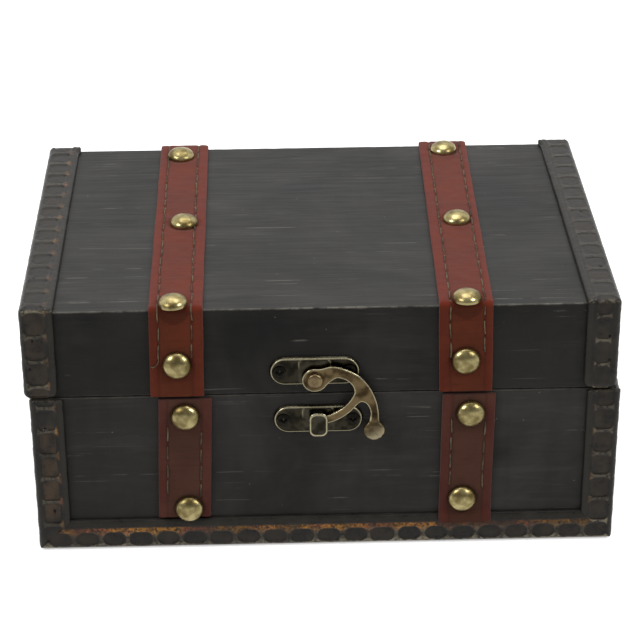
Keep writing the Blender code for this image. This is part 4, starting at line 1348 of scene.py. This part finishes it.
def bevelled_outline(name, outlines, thickness, edge):
    """Flat outlines, the later ones holes, given thickness and a rounded edge."""
    curve = bpy.data.curves.new(name, "CURVE")
    curve.dimensions = "2D"
    curve.fill_mode = "BOTH"
    curve.extrude = thickness / 2 - edge
    curve.bevel_depth = edge
    curve.bevel_resolution = 3
    curve.offset = -edge
    for points in outlines:
        spline = curve.splines.new("POLY")
        spline.points.add(len(points) - 1)
        for point, (x, y) in zip(spline.points, points):
            point.co = (x, y, 0, 1)
        spline.use_cyclic_u = True
    return bpy.data.objects.new(name, curve)


def rivet_profile():
    """A domed head on a short shank."""
    profile = [(0, RIVET_SHOULDER + RIVET_DOME, 0.1)]
    for i in range(1, 13):
        turn = QUARTER * i / 12
        radius = RIVET_RADIUS * math.sin(turn) ** 0.85
        profile.append((radius, RIVET_SHOULDER + RIVET_DOME * math.cos(turn), 0.1))
    profile.append((RIVET_RADIUS, RIVET_UNDERSIDE, 0.5))
    profile.append((SHANK_RADIUS, RIVET_UNDERSIDE, 0))
    profile += [(SHANK_RADIUS, SHANK_FOOT, 0), (0, SHANK_FOOT, 0)]
    return profile


def evaluated_mesh(piece):
    """The mesh that a loose object gives with its modifiers. The object is removed."""
    bpy.context.scene.collection.objects.link(piece)
    bpy.context.view_layer.update()
    graph = bpy.context.evaluated_depsgraph_get()
    mesh = bpy.data.meshes.new_from_object(piece.evaluated_get(graph))
    bpy.data.objects.remove(piece, do_unlink=True)
    return mesh


def cast_hook(name, sizes, pivot):
    """The cast hook: a flat crescent with a prong, a conical neck and a teardrop ball."""
    bore = arc((0, 0), HOOK_BORE, 0, 4 * QUARTER, 32)[:-1]
    crescent = bevelled_outline(name, [hook_outline(), bore], HOOK_THICKNESS, HOOK_EDGE)
    shape = bmesh.new()
    shape.from_mesh(evaluated_mesh(crescent))
    bmesh.ops.remove_doubles(shape, verts=shape.verts, dist=0.00001)
    rows = []
    for height, half_width, half_depth in HOOK_DROP:
        ring = []
        for turn in round_turns(24):
            x = HOOK_REACH + half_width * math.cos(turn)
            ring.append(((x, height, BALL_OUT + half_depth * math.sin(turn)), ()))
        rows.append(add_row(shape, (), ring))
    skin_rows(shape, rows)
    bmesh.ops.recalc_face_normals(shape, faces=shape.faces)
    mesh = bpy.data.meshes.new(name)
    shape.to_mesh(mesh)
    shape.free()
    rough = bpy.data.objects.new(name, mesh)
    cast = rough.modifiers.new("cast", "REMESH")
    cast.mode = "VOXEL"
    cast.voxel_size = sizes.cast_detail
    soften = rough.modifiers.new("soften", "SMOOTH")
    soften.factor = 0.5
    soften.iterations = 4
    result = evaluated_mesh(rough)
    result.shade_smooth()
    piece = bpy.data.objects.new(name, result)
    bpy.context.scene.collection.objects.link(piece)
    upright = Matrix.Rotation(QUARTER, 4, "X")
    piece.matrix_world = Matrix.Translation(pivot + FRONT * HOOK_MIDDLE) @ upright
    raise_hook_rim(piece, sizes.hook_rim)
    return piece


def raise_hook_rim(piece, rim_height):
    """Raise a thin rim along the hook's outline, and mark it and the ring round the rivet. The
    ball's lower right is marked too, as a painted highlight.
    """
    outline = hook_outline()
    spots = KDTree(len(outline) * 8)
    for i, (start, end) in enumerate(zip(outline, outline[1:] + outline[:1])):
        for j in range(8):
            place = Vector(start).lerp(Vector(end), j / 8)
            spots.insert((place.x, place.y, 0), i * 8 + j)
    spots.balance()
    wear, recess = [], []
    normals = [vertex.normal.copy() for vertex in piece.data.vertices]
    for vertex, normal in zip(piece.data.vertices, normals):
        x, y, _ = vertex.co
        facing = smoothstep(normal.z / 0.5)
        distance = spots.find((x, y, 0))[2]
        ball = smoothstep((-0.0138 - y) / 0.0008) * smoothstep((x - 0.013) / 0.0008)
        rim = bell(distance - 0.00012, 0.00020) * (1 - ball)
        vertex.co.z += rim_height * rim * facing
        ring = bell(math.hypot(x, y) - EYE_GROOVE, 0.00035) * facing
        vertex.co.z -= EYE_GROOVE_DEPTH * ring
        # A painted highlight on the ball's lower right, laid into the wear layer
        ball_highlight_side = smoothstep(0.5 + ((x - HOOK_REACH) - 1.4 * (y + 0.0178)) / 0.006)
        wear.append(max(rim * smoothstep(0.2 + normal.z), ball * (0.06 + 0.36 * ball_highlight_side)))
        recess.append(ring)
    set_layer(piece, "edge_wear", wear)
    set_layer(piece, "recess", recess)


# How strap, nails and latch are fitted

# The stitch rows' places across each strap, from its middle
STRAP_ROWS = {
    "lid_left": (-0.0053, 0.0047),
    "lid_right": (-0.0047, 0.0056),
    "base_left": (-0.0053, 0.0049),
    "base_right": (-0.0050, 0.0051),
}
# Where the nails sit, in mm: (x, y) on the lid's top and (x, z) in front
NAIL_PLACES = {
    "lid_nail_left_top_back": (-45.7, 51.4),
    "lid_nail_left_top_middle": (-43.4, -3.2),
    "lid_nail_left_top_front": (-45.3, -60.0),
    "lid_nail_right_top_back": (44.3, 53.4),
    "lid_nail_right_top_middle": (44.05, -3.8),
    "lid_nail_right_top_front": (42.3, -60.0),
    "lid_nail_left_front": (-44.7, 65.05),
    "lid_nail_right_front": (42.2, 64.9),
    "base_nail_left_upper": (-42.8, 47.3),
    "base_nail_left_lower": (-42.55, 14.5),
    "base_nail_right_upper": (44.15, 46.6),
    "base_nail_right_lower": (42.3, 16.2),
}


def box_middle(node):
    low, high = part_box(node)
    return (low + high) / 2


def nail_place(node, face="front"):
    """Where a nail meets the wood. The base's back nails have no node of their own."""
    low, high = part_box(node)
    place = (low + high) / 2
    if face == "back":
        place.x = math.copysign(0.0436, place.x)
    elif node in NAIL_PLACES:
        across, along = NAIL_PLACES[node]
        if "top" in node:
            place = Vector((across, along, 0)) * MM
        else:
            place = Vector((across, 0, along)) * MM
    if "top" in node:
        place.z = LID_SURFACE
    elif face == "back" or node.endswith("back"):
        place.y = WALL_BACK
    else:
        place.y = WALL_FRONT
    return place


def strap_nail(path, node, face="front"):
    """Where a nail sits on a strap: (across, reach)."""
    spot = nail_place(node, face)
    flat = Vector((0, spot.y, spot.z))
    nearest = min(range(len(path.reach)), key=lambda i: (path.stations[i][0] - flat).length)
    return spot.x - path.middle(path.stations[nearest][0]), path.reach[nearest]


def sew_strap(node, body, sizes, materials, path, rows, spans, nails, seeds, curve=0.0, loose=()):
    """Lay a strap along its path and sew it, in its leather and its thread."""
    pairs = stitch_holes(sizes, zip(rows, spans), seeds[0])
    holes = [hole for pair in pairs for hole in pair]
    strap = strap_mesh(f"leather_{node}", sizes, path, rows, holes, nails, seeds[1], curve)
    dress(strap, materials[0], body, "strap_leather", node)
    sewn = add_stitches(f"{node}_stitches", sizes, path, pairs, seeds[2], loose)
    dress(sewn, materials[1], body, "strap_leather")


def nails_to_drive():
    """(name, CAD node, body, place, outward direction) of every nail."""
    for side in SIDES:
        for row in ("front", "back", "top_front", "top_middle", "top_back"):
            node = f"lid_nail_{side}_{row}"
            outward = {"front": FRONT, "back": BACK}.get(row, UP)
            yield f"domed_{node}", node, "lid", nail_place(node), outward
        for row in ("upper", "lower"):
            node = f"base_nail_{side}_{row}"
            strap = f"base_strap_back_{side}"
            yield f"domed_{node}", node, "base", nail_place(node), FRONT
            yield f"domed_{strap}_{row}", strap, "base", nail_place(node, "back"), BACK


# Operators


class PieceOperator:
    """What the operators of this box share."""

    bl_options = {"REGISTER", "UNDO"}

    def details(self, context):
        return context.scene.jewelry_box_sizes, context.scene.jewelry_box_colours


class JEWELRY_BOX_OT_boards(PieceOperator, bpy.types.Operator):
    """Finish the stained boards and round the ones that show most"""

    bl_idname = "jewelry_box.boards"
    bl_label = "Boards"

    def execute(self, context):
        sizes, colours = self.details(context)
        # Copies of one stain with painted light and shade: the lid's front is painted darker, the
        # base's front lighter, and the top a little darker with more painted sheen in its streaks
        wide = stained_wood("stained_wood_wide", colours, (1, 0, 0))
        top = stained_wood("stained_wood_top_painted_sheen", colours, (1, 0, 0), 0.95, 0.50, 0.22)
        lid = stained_wood("stained_wood_lid_painted_shade", colours, (1, 0, 0), 0.76, 0.22)
        base = stained_wood("stained_wood_base_painted_light", colours, (1, 0, 0), 1.15, 0.18)
        deep = stained_wood("stained_wood_deep", colours, (0, 1, 0))
        for name in ("base_back_board", "lid_back_board", "base_bottom"):
            paint_node(name, wide)
        for name in ("base_left_board", "base_right_board", "lid_left_board", "lid_right_board"):
            paint_node(name, deep)
        edge = sizes.board_edge
        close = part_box("lid_top_board")[0].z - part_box("lid_front_board")[1].z
        sharp = (0.00004, 0.0)
        eased = (0.0002, 0.0)
        worn = (edge * 0.8, 0.2)
        boards = (
            ("lid_top_board", "lid", top, (sharp, (edge, 0.6)), (edge, 0.2), 0.0),
            ("lid_front_board", "lid", lid, (worn, sharp), eased, close),
            ("base_front_board", "base", base, (eased, worn), eased, 0.0),
        )
        for seed, (node, body, material, front_edges, back_edge, raised) in enumerate(boards):
            piece = worn_board(f"worn_{node}", node, seed * 7.3, front_edges, back_edge, raised)
            dress(piece, material, body, "stained_wood", node)
            # The top board's forward faces take the lid front's copy: painted shade on the faces
            # that look forward
            if node == "lid_top_board":
                piece.data.materials.append(lid)
                for face in piece.data.polygons:
                    face.material_index = 1 if face.normal.y < -0.8 else 0
        return {"FINISHED"}


class JEWELRY_BOX_OT_mouldings(PieceOperator, bpy.types.Operator):
    """Carve the corner mouldings and rails with their rows of pressed coins"""

    bl_idname = "jewelry_box.mouldings"
    bl_label = "Mouldings"

    def execute(self, context):
        sizes, colours = self.details(context)
        material = carved_wood("carved_wood_coins", colours)
        add_base_mouldings(sizes, material)
        add_lid_mouldings(sizes, material)
        return {"FINISHED"}


class JEWELRY_BOX_OT_straps(PieceOperator, bpy.types.Operator):
    """Lay the leather straps and sew their stitches"""

    bl_idname = "jewelry_box.straps"
    bl_label = "Straps"

    def execute(self, context):
        sizes, colours = self.details(context)
        # Painted shade on the lid straps where they hang down the front and back
        hanging_painted_shade = (0.72, 0.94, 0.85)
        lid_leather = strap_leather(
            "strap_leather_red", colours.lid_leather, colours.lid_leather_edge, hanging_painted_shade
        )
        base_leather = strap_leather(
            "strap_leather_brown", colours.base_leather, colours.base_leather_edge
        )
        thread = stitching_thread("strap_thread", colours.thread, colours.thread_dark)
        for side in SIDES:
            self.lay_lid_strap(sizes, (lid_leather, thread), side)
            for face in ("front", "back"):
                self.lay_base_strap(sizes, (base_leather, thread), face, side)
        return {"FINISHED"}

    def lay_lid_strap(self, sizes, materials, side):
        # the strap's middle, in mm, at its lower front end, its front bend and its back bend
        front, edge, back = {"left": (-45.0, -44.6, -44.6), "right": (42.5, 42.0, 44.4)}[side]

        def middle(place):
            along = smoothstep((place.z - LID_BOTTOM) / (LID_SURFACE - LID_BOTTOM))
            across = (place.y - WALL_FRONT) / (WALL_BACK - WALL_FRONT)
            start = front + (edge - front) * (1 if across > 0 else along)
            return MM * (start + (back - edge) * max(0, across))

        path = lid_strap_path(middle)
        nails = [
            strap_nail(path, f"lid_nail_{side}_{row}")
            for row in ("front", "top_front", "top_middle", "top_back", "back")
        ]
        start = nails[0][1] + LID_STITCHES[0]
        end = nails[-1][1] + LID_STITCHES[1]
        first = start + (0.0012 if side == "left" else 0)
        rows = STRAP_ROWS[f"lid_{side}"]
        loose = ()
        if side == "left":
            # how far out from the row, how far before its first stitch, and how high
            loose = [
                (rows[0] - out, first - before, height)
                for out, before, height in (
                    (0, -0.0004, 0.0013), (0.0002, 0.0006, 0.0019), (0.0009, 0.0018, 0.0020),
                    (0.0019, 0.0023, 0.0019), (0.0026, 0.0020, 0.0017),
                )
            ]
        spans = ((first, end), (start + 0.0016, end))
        seeds = (len(side), 3.1 + SIDES[side], 5 + SIDES[side])
        sew_strap(
            f"lid_strap_{side}", "lid", sizes, materials, path, rows, spans, nails, seeds,
            loose=loose,
        )

    def lay_base_strap(self, sizes, materials, face, side):
        node = f"base_strap_{face}_{side}"
        low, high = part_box(node)
        outward = FRONT if face == "front" else BACK
        bottom = low.z
        lift = None
        curve = 0.0
        # the strap's middle, in mm, at its lower and upper ends
        ends = (SIDES[side] * 43.6, SIDES[side] * 43.6)
        if face == "front":
            ends = {"left": (-44.1, -42.7), "right": (43.2, 43.65)}[side]
            bottom = STRAP_BOTTOMS[side]
        if node == "base_strap_front_right":
            curve = 0.0004

            def lift(place):
                return RISE_HEIGHT * smoothstep((RISE_TOP - place.z) / RISE_LENGTH)

        def middle(place):
            share = (place.z - bottom) / (high.z - bottom)
            return MM * (ends[0] + (ends[1] - ends[0]) * share)

        path = base_strap_path(node, bottom, middle, outward, lift)
        nails = [strap_nail(path, f"base_nail_{side}_{row}", face) for row in ("lower", "upper")]
        start = nails[0][1] + BASE_STITCHES[0]
        end = nails[1][1] + BASE_STITCHES[1]
        spans = ((start, end), (start - 0.0012, end))
        seeds = (len(side) + 2, 5.7 + SIDES[side], 15 + SIDES[side])
        rows = STRAP_ROWS[f"base_{side}"]
        sew_strap(node, "base", sizes, materials, path, rows, spans, nails, seeds, curve)


class JEWELRY_BOX_OT_nails(PieceOperator, bpy.types.Operator):
    """Drive the domed brass nails through the straps"""

    bl_idname = "jewelry_box.nails"
    bl_label = "Nails"

    def execute(self, context):
        sizes, colours = self.details(context)
        brass = tarnished_metal(
            "antique_brass", colours.brass, colours.brass_dark, colours.brass, (0.22, 0.34), 260
        )
        chance = random.Random(8)
        for name, node, body, place, outward in nails_to_drive():
            tilt = (chance.uniform(-0.05, 0.05), chance.uniform(-0.05, 0.05))
            profile = nail_profile(sizes.nail_radius, NAIL_FOOT, sizes.nail_height)
            shape = turned(profile, sizes.nail_turns, chance.uniform(0, 99))
            piece = place_turned(name, shape, place, outward, tilt)
            dress(piece, brass, body, "nail_brass", node)
        return {"FINISHED"}


class JEWELRY_BOX_OT_latch(PieceOperator, bpy.types.Operator):
    """Fit the latch plates, the keeper, the screws, the rivet and the cast hook"""

    bl_idname = "jewelry_box.latch"
    bl_label = "Latch"

    def execute(self, context):
        sizes, colours = self.details(context)
        rim = colours.bronze_rim
        plates = tarnished_metal(
            "dark_bronze_plates", colours.plate, colours.plate_dark, rim, (0.20, 0.34), 340
        )
        bronze = tarnished_metal(
            "cast_bronze", colours.hook, colours.hook_dark, rim, (0.18, 0.30), 240, 1.0
        )
        pale_bronze = tarnished_metal(
            "rivet_bronze", colours.rivet, colours.rivet_dark, rim, (0.26, 0.36)
        )
        steel = tarnished_metal("dark_steel", colours.steel, colours.steel_dark, colours.steel_rim)
        self.fit_plate("latch_plate", "lid", "latch", sizes, plates, steel)
        self.fit_plate("catch_plate", "base", "catch", sizes, plates, steel)
        pivot = box_middle("latch_rivet")
        pivot.y = WALL_FRONT
        piece = place_turned("domed_latch_rivet", turned(rivet_profile(), 48, 2), pivot, FRONT)
        dress(piece, pale_bronze, "lid", "latch_bronze", "latch_rivet")
        hook = cast_hook("cast_latch_hook", sizes, pivot)
        dress(hook, bronze, "hook", "latch_bronze", "latch_hook")
        return {"FINISHED"}

    def fit_plate(self, node, body, screws, sizes, plates, steel):
        """One latch plate and its two screws, and the keeper on the lower plate."""
        low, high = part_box(node)
        names = [f"{screws}_screw_{side}" for side in SIDES]
        heads = [box_middle(name) for name in names]
        middle = Vector(((low.x + high.x) / 2, WALL_FRONT, heads[0].z))
        shape = coined_plate(sizes, middle, high.x - low.x, [head.x - middle.x for head in heads])
        if node == "catch_plate":
            add_keeper(shape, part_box("latch_rivet")[0].z + RIVET_RADIUS - KEEPER_DROP, middle.x)
        dress(new_object(f"coined_{node}", shape), plates, body, "latch_bronze", node)
        for name, head in zip(names, heads):
            spot = Vector((head.x, WALL_FRONT - PLATE_FACE, head.z))
            piece = place_turned(f"crossed_{name}", screw_head(), spot, FRONT)
            dress(piece, steel, body, "screw_steel", name)


class JEWELRY_BOX_OT_hinges(PieceOperator, bpy.types.Operator):
    """Give the hinges their tarnished bronze"""

    bl_idname = "jewelry_box.hinges"
    bl_label = "Hinges"

    def execute(self, context):
        _, colours = self.details(context)
        bronze = tarnished_metal(
            "hinge_bronze_worn", colours.hinge, colours.hinge_dark, colours.bronze_rim,
            (0.3, 0.45), 500,
        )
        for side in SIDES:
            for part in ("base_leaf", "lid_leaf", "pin"):
                paint_node(f"hinge_{side}_{part}", bronze)
        return {"FINISHED"}


# The camera: where it looks, from how far, its turns in degrees and its lens in pixels
CAMERA_TARGET = Vector((0, 0, 0.042))
CAMERA_DISTANCE = 0.73224
CAMERA_PITCH, CAMERA_YAW, CAMERA_ROLL = 27.68, 1.60, -0.31
PICTURE_SIZE = 640
FOCAL_LENGTH = 2214.2
LENS_SHIFT = (0.17, 13.48)
SENSOR_WIDTH = 36

FLOOR_PAINT = (0.82, 0.82, 0.82)
FLOOR_GLOW = 0.45
LAMP_TARGET = Vector((0, 0, 0.04))
# Place, size and power of each lamp
LAMPS = {
    "softbox_top": ((0.0, 0.12, 0.95), 0.7, 3.5),
    "softbox_left": ((-0.62, -0.45, 0.62), 0.35, 3.2),
    "softbox_right": ((0.62, -0.45, 0.62), 0.35, 3.2),
}


class StageNodes(Nodes):
    """The nodes of a floor or a world, from nothing."""

    def __init__(self, owner):
        owner.use_nodes = True
        super().__init__(owner.node_tree)
        self.tree.nodes.clear()

    def ray(self, kind):
        return self.add("ShaderNodeLightPath", output=kind)

    def slope(self, coordinates, axis, *limits):
        """A straight rise along one axis, from and to these limits."""
        place = self.add("ShaderNodeTexCoord", output=coordinates)
        part = self.add("ShaderNodeSeparateXYZ", {"Vector": place}, axis)
        return self.between(part, *limits, curve="LINEAR")

    def show(self, kind, surface):
        output = self.tree.nodes.new(kind)
        self.feed(output.inputs["Surface"], surface)


class JEWELRY_BOX_OT_stage(PieceOperator, bpy.types.Operator):
    """Add the pale floor, the camera, the lamps and the world"""

    bl_idname = "jewelry_box.stage"
    bl_label = "Stage"

    def execute(self, context):
        self.add_floor()
        self.add_camera(context)
        self.add_lamps(context)
        self.add_world(context)
        context.scene.view_settings.view_transform = "Standard"
        return {"FINISHED"}

    def add_floor(self):
        """A floor that glows a little to the camera, and more towards the back in reflections."""
        shape = bmesh.new()
        bmesh.ops.create_grid(shape, x_segments=8, y_segments=8, size=3)
        floor = new_object("studio_floor", shape)
        floor.location.z = -0.0002
        material = bpy.data.materials.new("studio_floor")
        nodes = StageNodes(material)
        glow = nodes.times(nodes.ray("Is Camera Ray"), FLOOR_GLOW)
        glow = nodes.add("ShaderNodeEmission", {"Strength": glow})
        paint = nodes.add("ShaderNodeBsdfDiffuse", {"Color": FLOOR_PAINT})
        seen = nodes.add("ShaderNodeAddShader", {0: paint, 1: glow})
        mirrored = nodes.slope("Object", "Y", -0.2, 0.3, 0.7, 1.5)
        mirrored = nodes.add("ShaderNodeEmission", {"Strength": mirrored})
        inputs = {0: nodes.ray("Is Glossy Ray"), 1: seen, 2: mirrored}
        nodes.show("ShaderNodeOutputMaterial", nodes.add("ShaderNodeMixShader", inputs))
        floor.data.materials.append(material)

    def add_camera(self, context):
        pitch, yaw, roll = map(math.radians, (CAMERA_PITCH, CAMERA_YAW, CAMERA_ROLL))
        forward = Vector(
            (math.sin(yaw) * math.cos(pitch), math.cos(yaw) * math.cos(pitch), -math.sin(pitch))
        )
        right = Vector((math.cos(yaw), -math.sin(yaw), 0))
        up = right.cross(forward)
        turned_right = right * math.cos(roll) + up * math.sin(roll)
        turned_up = up * math.cos(roll) - right * math.sin(roll)
        data = bpy.data.cameras.new("camera")
        data.sensor_width = SENSOR_WIDTH
        data.lens = FOCAL_LENGTH / PICTURE_SIZE * SENSOR_WIDTH
        data.shift_x = LENS_SHIFT[0] / PICTURE_SIZE
        data.shift_y = LENS_SHIFT[1] / PICTURE_SIZE
        data.clip_start = 0.01
        data.clip_end = 20
        camera = bpy.data.objects.new("camera", data)
        context.scene.collection.objects.link(camera)
        turn = Matrix((turned_right, turned_up, -forward)).transposed().to_4x4()
        camera.matrix_world = Matrix.Translation(CAMERA_TARGET - forward * CAMERA_DISTANCE) @ turn
        context.scene.camera = camera

    def add_lamps(self, context):
        for name, (place, size, power) in LAMPS.items():
            light = bpy.data.lights.new(name, "AREA")
            light.shape = "SQUARE"
            light.size = size
            light.energy = power
            lamp = bpy.data.objects.new(name, light)
            context.scene.collection.objects.link(lamp)
            lamp.location = place
            aim = LAMP_TARGET - Vector(place)
            lamp.rotation_euler = aim.to_track_quat("-Z", "Y").to_euler()

    def add_world(self, context):
        """A sky brighter above and behind, which the camera sees as white."""
        world = bpy.data.worlds.new("studio")
        nodes = StageNodes(world)
        above = nodes.slope("Generated", "Z", 0.0, 0.7, 0.76, 1.08)
        behind = nodes.slope("Generated", "Y", -0.7, 0.5, 0.30, 1.0)
        inputs = {0: nodes.ray("Is Camera Ray"), 2: nodes.times(above, behind), 3: 1.0}
        level = nodes.add("ShaderNodeMix", inputs, data_type="FLOAT")
        sky = nodes.add("ShaderNodeBackground", {"Color": (1, 1, 1), "Strength": level})
        nodes.show("ShaderNodeOutputWorld", sky)
        context.scene.world = world


PIECE_OPERATORS = (
    JEWELRY_BOX_OT_stage,
    JEWELRY_BOX_OT_boards,
    JEWELRY_BOX_OT_mouldings,
    JEWELRY_BOX_OT_straps,
    JEWELRY_BOX_OT_nails,
    JEWELRY_BOX_OT_latch,
    JEWELRY_BOX_OT_hinges,
)


class JEWELRY_BOX_PT_pieces(bpy.types.Panel):
    """Lists the pieces of the jewelry box"""

    bl_label = "Jewelry Box"
    bl_space_type = "VIEW_3D"
    bl_region_type = "UI"
    bl_category = "Jewelry Box"

    def draw(self, context):
        for operator in PIECE_OPERATORS:
            self.layout.operator(operator.bl_idname)


CLASSES = (BoxSizes, BoxColours, *PIECE_OPERATORS, JEWELRY_BOX_PT_pieces)


def register():
    for kind in CLASSES:
        bpy.utils.register_class(kind)
    bpy.types.Scene.jewelry_box_sizes = PointerProperty(type=BoxSizes)
    bpy.types.Scene.jewelry_box_colours = PointerProperty(type=BoxColours)


def unregister():
    del bpy.types.Scene.jewelry_box_colours
    del bpy.types.Scene.jewelry_box_sizes
    for kind in reversed(CLASSES):
        bpy.utils.unregister_class(kind)


def main():
    register()
    bpy.ops.jewelry_box.stage()
    bpy.ops.jewelry_box.boards()
    bpy.ops.jewelry_box.mouldings()
    bpy.ops.jewelry_box.straps()
    bpy.ops.jewelry_box.nails()
    bpy.ops.jewelry_box.latch()
    bpy.ops.jewelry_box.hinges()


if __name__ == "__main__":
    main()
